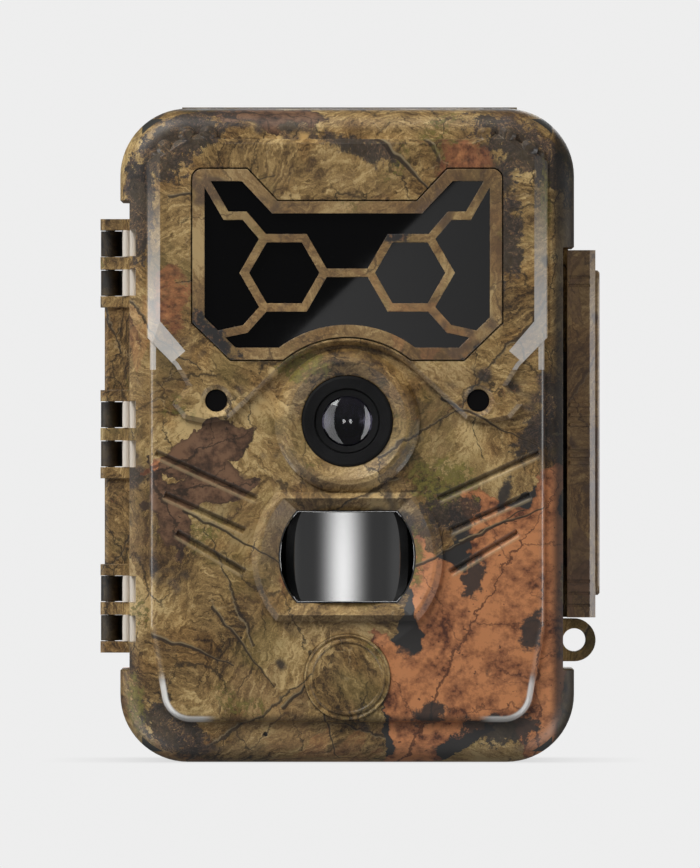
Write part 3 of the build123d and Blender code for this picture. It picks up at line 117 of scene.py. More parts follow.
# ---------------------------------------------------------------- palette
BARK_SHADE = srgb(38, 29, 20)
BARK_DARK = srgb(86, 65, 38)
BARK_MID = srgb(134, 107, 65)
BARK_LIGHT = srgb(168, 138, 88)
BARK_PALE = srgb(206, 178, 124)
UMBER = srgb(104, 80, 64)
OLIVE = srgb(112, 104, 56)
RUST = srgb(148, 94, 62)
RUST_LIGHT = srgb(206, 138, 90)
RUST_VEIN = srgb(82, 48, 36)
PLUM = srgb(128, 96, 72)
PLUM_DARK = srgb(84, 61, 46)
SHADOW = srgb(52, 50, 49)
MOSS = srgb(130, 120, 58)
MOSS_DARK = srgb(74, 72, 34)
TWIG_DARK = srgb(48, 38, 30)
TWIG_LIGHT = srgb(196, 174, 132)
BARE_PLASTIC = srgb(46, 45, 40)
# Pale colour of the painted highlight on the hinge's beads.
BEAD_PAINTED_HIGHLIGHT = srgb(226, 218, 206)
# Black, also used for painted shade on the housings.
BLACK_AND_PAINTED_SHADE = srgb(6, 6, 7)
FRAME_TAN = srgb(138, 110, 82)
# Pale colour of painted highlights.
PAINTED_HIGHLIGHT = srgb(246, 244, 240)
COATING = srgb(118, 112, 140)
LATCH_BROWN = srgb(152, 126, 107)


# ---------------------------------------------------------------- node helpers
def operator(operation, swapped=False):
    """Method of Value that stands for one math node."""
    def method(self, other=None):
        first, second = (other, self) if swapped else (self, other)
        return self.graph.math(operation, first, second)
    return method


class Value:
    """A node's output that can stand in a formula."""
    __add__ = operator("ADD")
    __radd__ = operator("ADD", swapped=True)
    __sub__ = operator("SUBTRACT")
    __rsub__ = operator("SUBTRACT", swapped=True)
    __mul__ = operator("MULTIPLY")
    __rmul__ = operator("MULTIPLY", swapped=True)
    __truediv__ = operator("DIVIDE")
    __pow__ = operator("POWER")
    __lt__ = operator("LESS_THAN")
    __gt__ = operator("GREATER_THAN")
    __abs__ = operator("ABSOLUTE")

    def __init__(self, graph, socket):
        self.graph = graph
        self.socket = socket


class Graph:
    """Adds nodes to one tree. Every method but node() and feed() returns values."""

    def __init__(self, tree):
        self.tree = tree

    def node(self, kind, **settings):
        made = self.tree.nodes.new(kind)
        for name, value in settings.items():
            setattr(made, name, value)
        return made

    def feed(self, socket, value):
        """Links an output to a socket, or sets the socket's own value."""
        if isinstance(value, Value):
            value = value.socket
        if isinstance(value, bpy.types.NodeSocket):
            self.tree.links.new(value, socket)
        elif value is not None:
            socket.default_value = value

    def math(self, operation, first, second=None, third=None, clamp=False):
        made = self.node("ShaderNodeMath", operation=operation, use_clamp=clamp)
        for socket, value in zip(made.inputs, (first, second, third)):
            self.feed(socket, value)
        return Value(self, made.outputs[0])

    def most(self, first, *others):
        """The largest of several values."""
        for other in others:
            first = self.math("MAXIMUM", first, other)
        return first

    def vector(self, operation, first, second=None, scale=None):
        made = self.node("ShaderNodeVectorMath", operation=operation)
        self.feed(made.inputs[0], first)
        self.feed(made.inputs[1], second)
        if scale is not None:
            made.inputs["Scale"].default_value = scale
        number = operation in ("LENGTH", "DOT_PRODUCT")
        return Value(self, made.outputs["Value" if number else "Vector"])

    def split(self, vector):
        made = self.node("ShaderNodeSeparateXYZ")
        self.feed(made.inputs[0], vector)
        return [Value(self, output) for output in made.outputs]

    def channels(self, colour):
        """The three channels of a colour."""
        made = self.node("ShaderNodeSeparateColor")
        self.feed(made.inputs[0], colour)
        return [Value(self, output) for output in made.outputs]

    def join(self, x, y, z=0.0):
        made = self.node("ShaderNodeCombineXYZ")
        for socket, value in zip(made.inputs, (x, y, z)):
            self.feed(socket, value)
        return Value(self, made.outputs[0])

    def turn(self, vector, angle):
        made = self.node("ShaderNodeVectorRotate", rotation_type="Z_AXIS")
        self.feed(made.inputs["Vector"], vector)
        self.feed(made.inputs["Angle"], angle)
        return Value(self, made.outputs[0])

    def ease(self, value, low, high, start=0.0, end=1.0, smooth=True):
        """Value carried from low..high to start..end and held there."""
        made = self.node("ShaderNodeMapRange")
        made.interpolation_type = "SMOOTHSTEP" if smooth else "LINEAR"
        for name, fed in zip(("Value", "From Min", "From Max", "To Min", "To Max"),
                             (value, low, high, start, end)):
            self.feed(made.inputs[name], fed)
        return Value(self, made.outputs[0])

    def ramp(self, value, *stops):
        """Colour ramp from (position, colour) stops."""
        made = self.node("ShaderNodeValToRGB")
        elements = made.color_ramp.elements
        for _ in stops[2:]:
            elements.new(1.0)
        for element, (position, colour) in zip(elements, stops):
            element.position = position
            element.color = colour
        self.feed(made.inputs[0], value)
        return Value(self, made.outputs[0])

    def mix(self, factor, first, second, blend="MIX"):
        made = self.node("ShaderNodeMix", data_type="RGBA", blend_type=blend)
        for index, value in ((0, factor), (6, first), (7, second)):
            self.feed(made.inputs[index], value)
        return Value(self, made.outputs[2])

    def noise(self, vector, scale, detail=2.0, roughness=0.5, distortion=0.0, colour=False):
        made = self.node("ShaderNodeTexNoise")
        for name, value in (("Vector", vector), ("Scale", scale), ("Detail", detail),
                            ("Roughness", roughness), ("Distortion", distortion)):
            self.feed(made.inputs[name], value)
        return Value(self, made.outputs["Color" if colour else "Fac"])

    def voronoi(self, vector, scale, output="Distance", feature="F1", random=1.0):
        made = self.node("ShaderNodeTexVoronoi", feature=feature, voronoi_dimensions="2D")
        self.feed(made.inputs["Vector"], vector)
        self.feed(made.inputs["Scale"], scale)
        self.feed(made.inputs["Randomness"], random)
        return Value(self, made.outputs[output])

    def object_mm(self):
        """Place on the part at rest, in millimetres."""
        place = self.node("ShaderNodeTexCoord").outputs["Object"]
        return self.vector("SCALE", place, scale=1 / MM)

    def here(self):
        """The three parts of that place."""
        return self.split(self.object_mm())

    def facing_back(self):
        """How far the surface faces back: 1 straight back, -1 straight to the front."""
        return self.split(self.node("ShaderNodeTexCoord").outputs["Normal"])[1]

    def moved(self, vector, x, y):
        return self.vector("ADD", vector, (x, y, 0.0))

    def stretch(self, vector, x, y, z=1.0):
        return self.vector("MULTIPLY", vector, (x, y, z))

    def call(self, group, **values):
        """Uses a node group and returns its outputs by name."""
        made = self.node("ShaderNodeGroup")
        made.node_tree = group
        for name, value in values.items():
            self.feed(made.inputs[name.replace("_", " ")], value)
        return {output.name: Value(self, output) for output in made.outputs}

    def bump(self, height, depth_mm, edge_mm=0.0):
        """Normal with relief of that depth, over edges rounded by edge_mm."""
        made = self.node("ShaderNodeBump")
        made.inputs["Strength"].default_value = 1.0
        made.inputs["Distance"].default_value = depth_mm * MM
        self.feed(made.inputs["Height"], height)
        if edge_mm:
            self.feed(made.inputs["Normal"], self.rounded(edge_mm))
        return Value(self, made.outputs[0])

    def rounded(self, edge_mm):
        made = self.node("ShaderNodeBevel", samples=4)
        made.inputs["Radius"].default_value = edge_mm * MM
        return Value(self, made.outputs[0])

    def edges(self, edge_mm):
        """1 along sharp edges, 0 on the flats: where handling wears a surface."""
        normal = self.node("ShaderNodeNewGeometry").outputs["Normal"]
        even = self.vector("DOT_PRODUCT", self.rounded(edge_mm), normal)
        return self.ease(even, 0.995, 0.9, 0.0, 1.0)


def new_group(name, inputs, outputs):
    """Node group with the given sockets: (group, graph, its input outputs, output node)."""
    group = bpy.data.node_groups.new(name, "ShaderNodeTree")
    for label, kind in inputs:
        group.interface.new_socket(label, in_out="INPUT", socket_type=kind)
    for label, kind in outputs:
        group.interface.new_socket(label, in_out="OUTPUT", socket_type=kind)
    graph = Graph(group)
    taken = [Value(graph, output) for output in graph.node("NodeGroupInput").outputs]
    given = graph.node("NodeGroupOutput").inputs
    return group, graph, taken, given


def new_material(name):
    """Material with an empty principled shader: (material, graph, shader inputs)."""
    material = bpy.data.materials.new(name)
    material.use_nodes = True
    graph = Graph(material.node_tree)
    shader = material.node_tree.nodes["Principled BSDF"]
    return material, graph, shader.inputs


def finish_shader(graph, sockets, colour, roughness, normal=None, **constants):
    """Feeds the principled shader. Constants go straight into its own sockets."""
    graph.feed(sockets["Base Color"], colour)
    graph.feed(sockets["Roughness"], roughness)
    graph.feed(sockets["Normal"], normal)
    for name, value in constants.items():
        sockets[name.replace("_", " ")].default_value = value


# ---------------------------------------------------------------- camera, lights, floor
def add_camera():
    """Level camera straight in front of the object."""
    data = bpy.data.cameras.new("camera")
    data.sensor_fit = "VERTICAL"
    data.sensor_height = SENSOR_HEIGHT
    data.lens = SENSOR_HEIGHT * CAMERA_DISTANCE / VIEW_HEIGHT
    data.clip_end = 50
    camera = bpy.data.objects.new("camera", data)
    camera.location = (CENTRE.x, CAMERA_Y, CENTRE.z)
    camera.rotation_euler = (math.pi / 2, 0, 0)
    bpy.context.scene.collection.objects.link(camera)
    bpy.context.scene.camera = camera


def seen_only_by(emitter, name):
    """Limits what a lamp or lit card lights to one node."""
    group = bpy.data.collections.new("lit_" + emitter.name)
    group.objects.link(NODES[name])
    emitter.light_linking.receiver_collection = group


def add_light(name, place, size, radiance, target=CENTRE):
    """Soft box at a place, facing the target, of that radiance. Size is width and height."""
    data = bpy.data.lights.new(name, "AREA")
    data.shape = "RECTANGLE"
    data.size, data.size_y = size
    data.energy = radiance * math.pi * size[0] * size[1]
    light = bpy.data.objects.new(name, data)
    light.location = place
    away = Vector(place) - Vector(target)
    light.rotation_euler = away.to_track_quat("Z", "Y").to_euler()
    light.visible_camera = False
    bpy.context.scene.collection.objects.link(light)
    return light


def glow_material(name, strength_of, clear):
    """Material that only glows, with light passing through it where it is clear."""
    material = bpy.data.materials.new(name)
    material.use_nodes = True
    graph = Graph(material.node_tree)
    material.node_tree.nodes.remove(material.node_tree.nodes["Principled BSDF"])
    glow = graph.node("ShaderNodeEmission")
    graph.feed(glow.inputs["Strength"], strength_of(graph))
    shown = glow.outputs[0]
    if clear:
        both = graph.node("ShaderNodeAddShader")
        graph.feed(both.inputs[0], shown)
        graph.feed(both.inputs[1], graph.node("ShaderNodeBsdfTransparent").outputs[0])
        shown = both.outputs[0]
    graph.feed(material.node_tree.nodes["Material Output"].inputs["Surface"], shown)
    return material


def glowing_sheet(name, corners, strength_of):
    """Lit studio card that hides nothing: two rows of corners, lower row first.

    strength_of(graph) gives its radiance."""
    mesh = bpy.data.meshes.new(name)
    count = len(corners) // 2
    faces = [(i, i + 1, count + i + 1, count + i) for i in range(count - 1)]
    mesh.from_pydata(corners, [], faces)
    card = bpy.data.objects.new(name, mesh)
    bpy.context.scene.collection.objects.link(card)
    card.visible_camera = False
    card.visible_shadow = False
    mesh.materials.append(glow_material(name, strength_of, clear=True))
    return card


def front_strip():
    """Low curved strip in front, brightest in the middle: the band in the motion window."""
    radius, reach, steps = 1.45, math.radians(62), 48
    low_z, high_z = 0.004, 0.055
    shift, bell_reach, peak, base = 0.08, 0.66, 5.3, 0.05
    ring = []
    for z in (low_z, high_z):
        for step in range(steps + 1):
            angle = reach * (2 * step / steps - 1)
            ring.append((radius * math.sin(angle), -radius * math.cos(angle), z))

    def strength(graph):
        x, y, _ = graph.here()
        turn = graph.math("ARCTAN2", x, y * -1.0)
        side = abs(turn + shift)
        bell = graph.ease(side, 0.0, bell_reach, 1.0, 0.0) ** 2.0
        return bell * peak + base + graph.ease(side, 0.8, 1.05, 0.0, 0.14)

    seen_only_by(glowing_sheet("front_strip", ring, strength), "pir_lens")


def grey_card():
    """Slanted card beside the camera: the grey half of the lamp window's reflection."""
    y = CAMERA_Y - 0.01
    low_z, high_z = 0.090, 0.196
    slope = 0.96  # rise over run of the slanted edge
    start_x = -0.046
    lean = (high_z - low_z) / slope
    right = 0.11
    corners = [(start_x, y, low_z), (right, y, low_z),
               (start_x + lean, y, high_z), (right, y, high_z)]

    def strength(graph):
        x, _, _ = graph.here()
        return graph.ease(x, -50.0, 90.0, 1.5, 0.8)

    seen_only_by(glowing_sheet("grey_card", corners, strength), "lamp_window")


def catchlight(name, inner, outer, start, end, radiance):
    """Curved card that the domed lens shows as a crescent.

    Inner and outer are angles off the lens's axis, start and end are angles round it, all in
    degrees. The crescent is widest in the middle."""
    distance, steps = 1.2, 24
    lens = Vector((0, LOW.y, LENS_Z * MM))
    rows = []
    for edge in ("inner", "outer"):
        for step in range(steps + 1):
            share = step / steps
            width = (outer - inner) * math.sin(math.pi * share) ** 0.6
            off = math.radians(outer - width if edge == "inner" else outer)
            turn = math.radians(start + (end - start) * share)
            aim = Vector((math.sin(off) * math.cos(turn), -math.cos(off),
                          math.sin(off) * math.sin(turn)))
            rows.append(lens + distance * aim)
    card = glowing_sheet(name, rows, lambda graph: radiance)
    seen_only_by(card, "lens_window")


def add_lights():
    """Key from the upper left, weak fill, and small boxes that edges and facets reflect."""
    add_light("key", (-0.62, -0.80, 1.05), (0.8, 0.8), 8.3)
    fill = add_light("front_fill", (1.1, -1.0, 0.45), (0.7, 0.7), 2.6)
    fill.visible_glossy = False
    add_light("back", (0.35, 1.2, 0.8), (0.9, 0.7), 4.0)
    for side in (-1, 1):
        add_light("side_box", (side * 0.30, -0.027, 0.057), (0.095, 0.095), 4.0,
                  (0, -0.027, 0.057))
        low = add_light("low_box", (side * 0.30, -0.20, -0.18), (0.26, 0.26), 4.0,
                        (side * 0.038, -0.05, 0.02))
        low.visible_diffuse = False
    front_strip()
    grey_card()
    catchlight("left_crescent", 24, 50, 100, 268, 2.4)
    catchlight("right_crescent", 33, 47, -60, 48, 4.2)
    for turn in (0, 180):
        catchlight("centre_dot", 2.5, 8.5, turn - 34, turn + 34, 9.0)


def add_world():
    """Pale surroundings, dimmer for the object than for the camera."""
    world = bpy.data.worlds.new("studio")
    world.use_nodes = True
    bpy.context.scene.world = world
    graph = Graph(world.node_tree)
    shade = world.node_tree.nodes["Background"]
    straight = Value(graph, graph.node("ShaderNodeLightPath").outputs["Is Camera Ray"])
    seen = straight * (BACKGROUND - FILL) + FILL
    graph.feed(shade.inputs["Strength"], seen)
    shade.inputs["Color"].default_value = (1, 1, 1, 1)


def add_floor():
    """Plain pale floor with a soft contact shadow."""
    reach = 6.0
    mesh = bpy.data.meshes.new("floor")
    z = LOW.z - 0.02 * MM
    corners = [(-reach, -reach, z), (reach, -reach, z), (reach, reach, z), (-reach, reach, z)]
    mesh.from_pydata(corners, [], [(0, 1, 2, 3)])
    floor = bpy.data.objects.new("floor", mesh)
    bpy.context.scene.collection.objects.link(floor)
    floor.visible_shadow = False
    floor.visible_glossy = False
    floor.visible_diffuse = False

    def strength(graph):
        hidden = graph.node("ShaderNodeAmbientOcclusion", samples=8)
        hidden.inputs["Distance"].default_value = 0.02
        open_share = hidden.outputs["AO"]
        return graph.ease(open_share, 0.0, 1.0, 0.80, 1.0, smooth=False) * BACKGROUND

    mesh.materials.append(glow_material("pale_floor", strength, clear=False))


# ---------------------------------------------------------------- camouflage film
def film_group():
    """Place on the flat film, in millimetres, of a point on the housings.

    The film lies flat on the front, folds down the sides at the rounded outline and has a
    second half for the back."""
    group, graph, _, given = new_group("film_place", [], [("Place", VECTOR)])
    x, y, z = graph.here()
    depth = y - FACE_Y
    place = []
    for value, middle, half in ((x, 0.0, HALF_W), (z, MID_Z, HALF_H)):
        from_middle = value - middle
        beyond = abs(from_middle) - (half - CORNER_R)
        share = graph.math("DIVIDE", beyond, CORNER_R, clamp=True)
        fold = share * graph.math("SIGN", from_middle)
        place.append(fold * depth + value)
    wrapped = graph.join(place[0], place[1])
    back = graph.join(BACK_FILM_X - x, z + BACK_FILM_Z)
    facing = graph.facing_back() > BACK_FACE_NORMAL
    chosen = graph.node("ShaderNodeMix", data_type="VECTOR")
    for index, value in ((0, facing), (4, wrapped), (5, back)):
        graph.feed(chosen.inputs[index], value)
    graph.feed(given[0], chosen.outputs[1])
    return group


def leaf_group():
    """One oak leaf on the film. Its stem is at the origin and it points along +X."""
    group, graph, taken, given = new_group(
        "oak_leaf",
        [("Place", VECTOR), ("Length", FLOAT), ("Width", FLOAT), ("Lobes", FLOAT),
         ("Depth", FLOAT)],
        [("Leaf", FLOAT), ("Vein", FLOAT), ("Rim", FLOAT)])
    place, length, width, lobes, depth = taken[:5]
    x, y, _ = graph.split(place)
    along = x / length
    bow = graph.math("SINE", along * 2.6) * 0.05
    across = y / length - bow
    out = abs(across)
    side = graph.math("SIGN", across)
    slanted = out * -0.6 + along
    held = graph.most(graph.math("MINIMUM", slanted, 1.0), 0.0)
    envelope = graph.math("SINE", held ** 0.75 * math.pi)
    phase = held * lobes + side * 0.11
    wave = graph.math("COSINE", phase * (2 * math.pi))
    lobed = wave * depth + (1.0 - depth)
    half = width / length * (envelope * lobed)
    inside = (half - out) * length
    leaf = graph.ease(inside, -0.12, 0.16)
    rim = leaf * graph.ease(inside, 0.9, 0.1)
    stem_width = graph.ease(along, 0.0, 1.0, 0.42, 0.10, smooth=False)
    from_midrib = out * length
    midrib = graph.ease(stem_width - from_midrib, -0.1, 0.12)
    on_stem = midrib * (abs(along - 0.42) < 0.56)
    nearest = graph.math("PINGPONG", phase, 0.5)
    from_vein = nearest * length / lobes
    side_vein = graph.ease(from_vein, 0.3, 0.08) * leaf
    graph.feed(given["Leaf"], graph.most(leaf, on_stem))
    graph.feed(given["Vein"], graph.most(on_stem, side_vein * 0.75))
    graph.feed(given["Rim"], rim)
    return group


def twig_group():
    """One thin twig on the film, from the origin along +X, with a lit upper edge."""
    group, graph, taken, given = new_group(
        "twig", [("Place", VECTOR), ("Length", FLOAT), ("Thickness", FLOAT)],
        [("Twig", FLOAT), ("Light", FLOAT)])
    x, y, _ = graph.split(taken[0])
    waver = graph.noise(graph.join(x, 3.0), 0.22, 1.0)
    across = y + (waver - 0.5) * 2.4
    knots = graph.noise(graph.join(x, 9.0), 0.9, 1.0)
    along = x / taken[1]
    taper = taken[2] * graph.ease(along, 0.0, 1.0, 1.0, 0.35)
    thick = taper * (knots + 0.5)
    body = graph.ease(thick - abs(across), -0.08, 0.1)
    middle = abs(along - 0.5)
    present = body * (middle < 0.5)
    graph.feed(given["Twig"], present)
    graph.feed(given["Light"], present * graph.ease(across, 0.0, 0.35))
    return group


def scattered(graph, place, cell):
    """Voronoi scatter: the place inside the nearest cell, turned at random, and its colour."""
    shrunk = graph.vector("SCALE", place, scale=1 / cell)
    node = graph.node("ShaderNodeTexVoronoi", voronoi_dimensions="2D")
    node.inputs["Scale"].default_value = 1.0
    node.inputs["Randomness"].default_value = 0.85
    graph.feed(node.inputs["Vector"], shrunk)
    local = graph.vector("SUBTRACT", shrunk, node.outputs["Position"])
    local = graph.vector("SCALE", local, scale=cell)
    dice = graph.channels(node.outputs["Color"])
    return graph.turn(local, dice[0] * (2 * math.pi)), dice[1], dice[2]


def contrast(graph, value, gain, middle):
    """Value spread about its middle and clamped."""
    spread = (value - middle) * gain + 0.5
    return graph.most(graph.math("MINIMUM", spread, 1.0), 0.0)


def shake(graph, place, scale, reach):
    """Place moved about by noise, so that edges drawn there come out ragged."""
    noise = graph.noise(place, scale, 4.0, 0.65, colour=True)
    push = graph.vector("SUBTRACT", noise, (0.5, 0.5, 0.5))
    return graph.vector("ADD", place, graph.vector("SCALE", push, scale=reach))


def strokes(graph, place, cell, fineness, narrow=1.7):
    """Fibres whose direction changes from patch to patch: (fibre, the patch's own tone)."""
    local, tone, _ = scattered(graph, place, cell)
    fibre = graph.noise(graph.stretch(local, 0.2, narrow), fineness, 5.0, 0.68, 0.4)
    return fibre, tone


def bark(graph, place):
    """Bark background: fibres, patches of differing tone, cracks and pale scratches."""
    rough = shake(graph, place, 0.25, 5.0)
    fibre, patch = strokes(graph, rough, 15.0, 0.75)
    fine, fleck = strokes(graph, shake(graph, place, 0.6, 2.5), 5.0, 1.3, 2.2)
    blotch = graph.noise(place, 0.05, 3.0, 0.55)
    grain = graph.noise(place, 1.9, 3.0, 0.75)
    tone = fibre * 1.4 + fine * 0.4 + grain * 0.35 + blotch * 1.3 + patch * 0.22 + fleck * 0.1
    tone = contrast(graph, tone, 1.45, 1.80)
    colour = graph.ramp(tone, (0.02, BARK_SHADE), (0.28, BARK_DARK), (0.52, BARK_MID),
                        (0.74, BARK_LIGHT), (0.98, BARK_PALE))
    warm = graph.ease(graph.noise(place, 0.07, 3.0, 0.6), 0.50, 0.62)
    colour = graph.mix(warm * 0.45, colour, UMBER, "SOFT_LIGHT")
    green = graph.ease(graph.noise(graph.moved(place, 90.0, 40.0), 0.05, 3.0, 0.6), 0.52, 0.64)
    colour = graph.mix(green * 0.3, colour, OLIVE)
    bent = graph.stretch(shake(graph, place, 0.2, 7.0), 1.0, 0.45)
    crack = graph.voronoi(bent, 0.11, feature="DISTANCE_TO_EDGE")
    sparse = graph.ease(graph.noise(place, 0.09, 1.0), 0.44, 0.54)
    cut = graph.ease(crack, 0.03, 0.006) * sparse
    colour = graph.mix(cut * 0.8, colour, BARK_SHADE)
    stalk = graph.voronoi(graph.moved(shake(graph, place, 0.12, 9.0), 40.0, 9.0), 0.085,
                          feature="DISTANCE_TO_EDGE")
    rare = graph.ease(graph.noise(graph.moved(place, 5.0, 55.0), 0.1, 1.0), 0.56, 0.62)
    lit = graph.ease(stalk, 0.014, 0.004) * rare
    return graph.mix(lit * 0.3, colour, TWIG_LIGHT)


def litter(graph, place):
    """Broken bark and leaf scraps: dark ground with slivers of light. Returns colour."""
    sliver, tone = strokes(graph, shake(graph, place, 0.7, 3.0), 3.2, 1.1, 2.4)
    grain = graph.noise(place, 1.4, 3.0, 0.75)
    mixed = sliver * 1.6 + grain * 0.8
    mixed = contrast(graph, tone * 0.25 + mixed, 1.05, 1.42)
    return graph.ramp(mixed, (0.12, TWIG_DARK), (0.4, SHADOW), (0.6, UMBER), (0.76, BARK_LIGHT),
                      (0.93, TWIG_LIGHT))


def leaf_colours(graph, place, leaf, base, light, vein):
    """Colour of one leaf: mottled, spotted, with a dark rim and veins."""
    mottle = graph.noise(place, 0.5, 5.0, 0.7)
    broad = graph.noise(place, 0.12, 3.0, 0.6)
    tone = contrast(graph, mottle + broad, 2.2, 0.96)
    colour = graph.ramp(tone, (0.05, vein), (0.30, base), (0.78, light))
    spots = graph.ease(graph.noise(place, 0.75, 2.0), 0.68, 0.73)
    colour = graph.mix(spots * 0.85, colour, vein)
    colour = graph.mix(leaf["Rim"] * 0.5, colour, vein)
    return graph.mix(leaf["Vein"] * 0.8, colour, vein)


def camouflage_group(leaf, twig):
    """The film's own pattern, everywhere: bark, fallen leaves, twigs, litter and moss."""
    group, graph, taken, given = new_group(
        "camouflage", [("Place", VECTOR), ("Leaves", FLOAT)], [("Color", COLOUR)])
    place, amount = taken[:2]
    shaken = shake(graph, place, 0.32, 2.8)
    colour = bark(graph, place)

    local, _, keep = scattered(graph, shaken, 24.0)
    big = graph.call(leaf, Place=graph.moved(local, 11.0, 0.0), Length=24.0, Width=8.5, Lobes=3.0,
                     Depth=0.3)
    present = graph.ease(keep, 0.3, 0.31) * big["Leaf"] * amount
    brown = leaf_colours(graph, place, big, UMBER, BARK_LIGHT, BARK_DARK)
    colour = graph.mix(present * 0.8, colour, brown)

    offset = graph.moved(shaken, 61.0, 23.0)
    local, tone, keep = scattered(graph, offset, 31.0)
    dark = graph.call(leaf, Place=graph.moved(local, 13.0, 0.0), Length=28.0, Width=10.5,
                      Lobes=3.5, Depth=0.38)
    present = graph.ease(keep, 0.45, 0.46) * dark["Leaf"] * amount
    plum = leaf_colours(graph, place, dark, PLUM_DARK, PLUM, TWIG_DARK)
    rust = leaf_colours(graph, place, dark, RUST, RUST_LIGHT, RUST_VEIN)
    picked = graph.mix(tone > 0.6, plum, rust)
    colour = graph.mix(present * 0.92, colour, picked)

    local, _, _ = scattered(graph, graph.moved(shaken, 11.0, 71.0), 34.0)
    stick = graph.call(twig, Place=graph.moved(local, 14.0, 0.0), Length=28.0, Thickness=0.5)
    colour = graph.mix(stick["Twig"] * 0.85, colour, TWIG_DARK)
    colour = graph.mix(stick["Light"] * 0.4, colour, TWIG_LIGHT)

    where = graph.ease(graph.noise(graph.moved(place, 17.0, 5.0), 0.055, 3.0, 0.6), 0.585, 0.64)
    colour = graph.mix(where * 0.9, colour, litter(graph, place))
    graph.feed(given[0], mossy(graph, place, colour))
    return group


def mossy(graph, place, colour):
    """Adds specks of moss in loose patches."""
    patch = graph.noise(graph.moved(place, 37.0, 81.0), 0.06, 2.0)
    speck = graph.noise(place, 0.9, 4.0, 0.7)
    moss = graph.ease(patch, 0.6, 0.68) * graph.ease(speck, 0.48, 0.56)
    green = graph.ramp(speck, (0.5, MOSS_DARK), (0.66, MOSS))
    return graph.mix(moss * 0.85, colour, green)


def seen_from(graph, place, centre, turn):
    """Place measured from a centre, along an X axis turned by that many degrees."""
    return graph.turn(graph.moved(place, -centre[0], -centre[1]), -math.radians(turn))


def blot(graph, place, centre, reach, stretch, turn=0.0):
    """Soft round region, ragged at its edge: 1 inside, 0 outside."""
    away = seen_from(graph, place, centre, turn)
    away = graph.vector("MULTIPLY", away, (1 / stretch[0], 1 / stretch[1], 0.0))
    ragged = (graph.noise(place, 0.3, 5.0, 0.75) - 0.5) * (reach * 3.2)
    return graph.ease(graph.vector("LENGTH", away) + ragged, reach + 0.5, reach - 0.5)


# Leaves that lie at set places on the front: stem (x, z), direction in degrees, length,
# half width, lobes, lobe depth. RUST_SHADE lies behind the rust leaves.
RUST_SHADE = ((10.0, -9.0), 61.0, 80.0, 17.0, 4.2, 0.08)
RUST_LEAVES = (
    ((42.0, -7.0), 87.0, 66.0, 11.0, 2.6, 0.22),
    ((9.0, -9.0), 60.0, 84.0, 22.5, 4.2, 0.34),
    ((-42.5, 62.5), 12.0, 15.0, 3.2, 1.2, 0.2),
)
PLUM_LEAVES = (
    ((-40.5, 61.5), 24.0, 23.5, 6.4, 1.6, 0.2),
    ((-41.0, 56.0), 9.0, 23.0, 5.8, 1.6, 0.22),
    ((-41.2, 62.5), -74.0, 21.0, 3.6, 1.4, 0.15),
    ((-30.0, 141.0), -8.0, 26.0, 6.5, 2.5, 0.3),
)
# Gaps in the rust leaf through which its shade shows: centre, reach, stretch, turn.
LEAF_GAPS = (
    ((27.0, 39.5), 2.6, (0.8, 1.7), -10.0),
    ((38.6, 28.0), 2.2, (0.9, 1.9), -12.0),
    ((17.5, 10.5), 2.3, (1.5, 1.0), 20.0),
    ((32.5, 7.0), 3.6, (2.2, 1.0), 0.0),
    ((12.8, 25.5), 1.9, (1.3, 1.3), 0.0),
    ((33.5, 57.0), 1.6, (0.8, 2.2), -15.0),
    ((24.0, 50.5), 2.2, (1.0, 1.8), 20.0),
)
TWIGS = (
    ((-41.5, 27.5), -21.0, 18.5, 0.55),
    ((-35.0, 54.0), -28.0, 26.0, 0.42),
    ((-29.0, 33.5), -52.0, 22.0, 0.40),
    ((-14.0, 12.0), 40.0, 16.0, 0.45),
    ((5.5, 37.0), 28.0, 36.0, 0.45),
    ((-37.0, 121.0), 12.0, 22.0, 0.35),
    ((-8.0, 24.0), -76.0, 26.0, 0.40),
    ((6.0, 132.0), -38.0, 17.0, 0.7),
    ((20.0, 78.0), -27.0, 22.0, 0.4),
    ((24.0, 47.0), 24.0, 20.0, 0.5),
)
# Spots on the front: centre, reach, stretch and, for litter, the turn in degrees.
RUSTY_SPOTS = (
    ((-36.8, 99.5), 3.1, (1.0, 2.1)),
    ((25.0, 127.8), 2.4, (2.3, 1.3)),
    ((-13.0, 40.0), 1.6, (1.0, 1.8)),
)
LITTER_SPOTS = (
    ((-36.0, 132.5), 6.0, (2.2, 1.0), 38.0),
    ((-45.0, 119.0), 5.0, (1.0, 2.4), 0.0),
    ((38.5, 130.5), 5.6, (2.4, 1.0), -35.0),
    ((34.0, 112.0), 3.0, (0.8, 3.4), 0.0),
    ((1.0, 131.0), 2.8, (3.6, 0.9), -18.0),
    ((-38.0, 7.0), 4.6, (1.8, 1.0), -40.0),
    ((40.0, 71.0), 3.2, (1.0, 2.0), -30.0),
    ((22.0, 54.0), 4.6, (1.3, 1.0), 0.0),
)
MOSS_SPOTS = (
    ((-9.5, 85.0), 3.4, (1.5, 1.0)),
    ((20.5, 60.0), 3.2, (2.2, 1.3)),
    ((41.6, 120.0), 2.2, (0.8, 3.0)),
    ((-46.0, 12.0), 2.6, (1.0, 2.2)),
    ((14.5, 44.0), 1.6, (1.0, 3.6)),
)


def placed_leaf(graph, leaf, place, spec):
    """A leaf of the list above, as a node of the leaf group."""
    stem, turn, length, width, lobes, depth = spec
    local = seen_from(graph, place, stem, turn)
    return graph.call(leaf, Place=local, Length=length, Width=width, Lobes=lobes, Depth=depth)


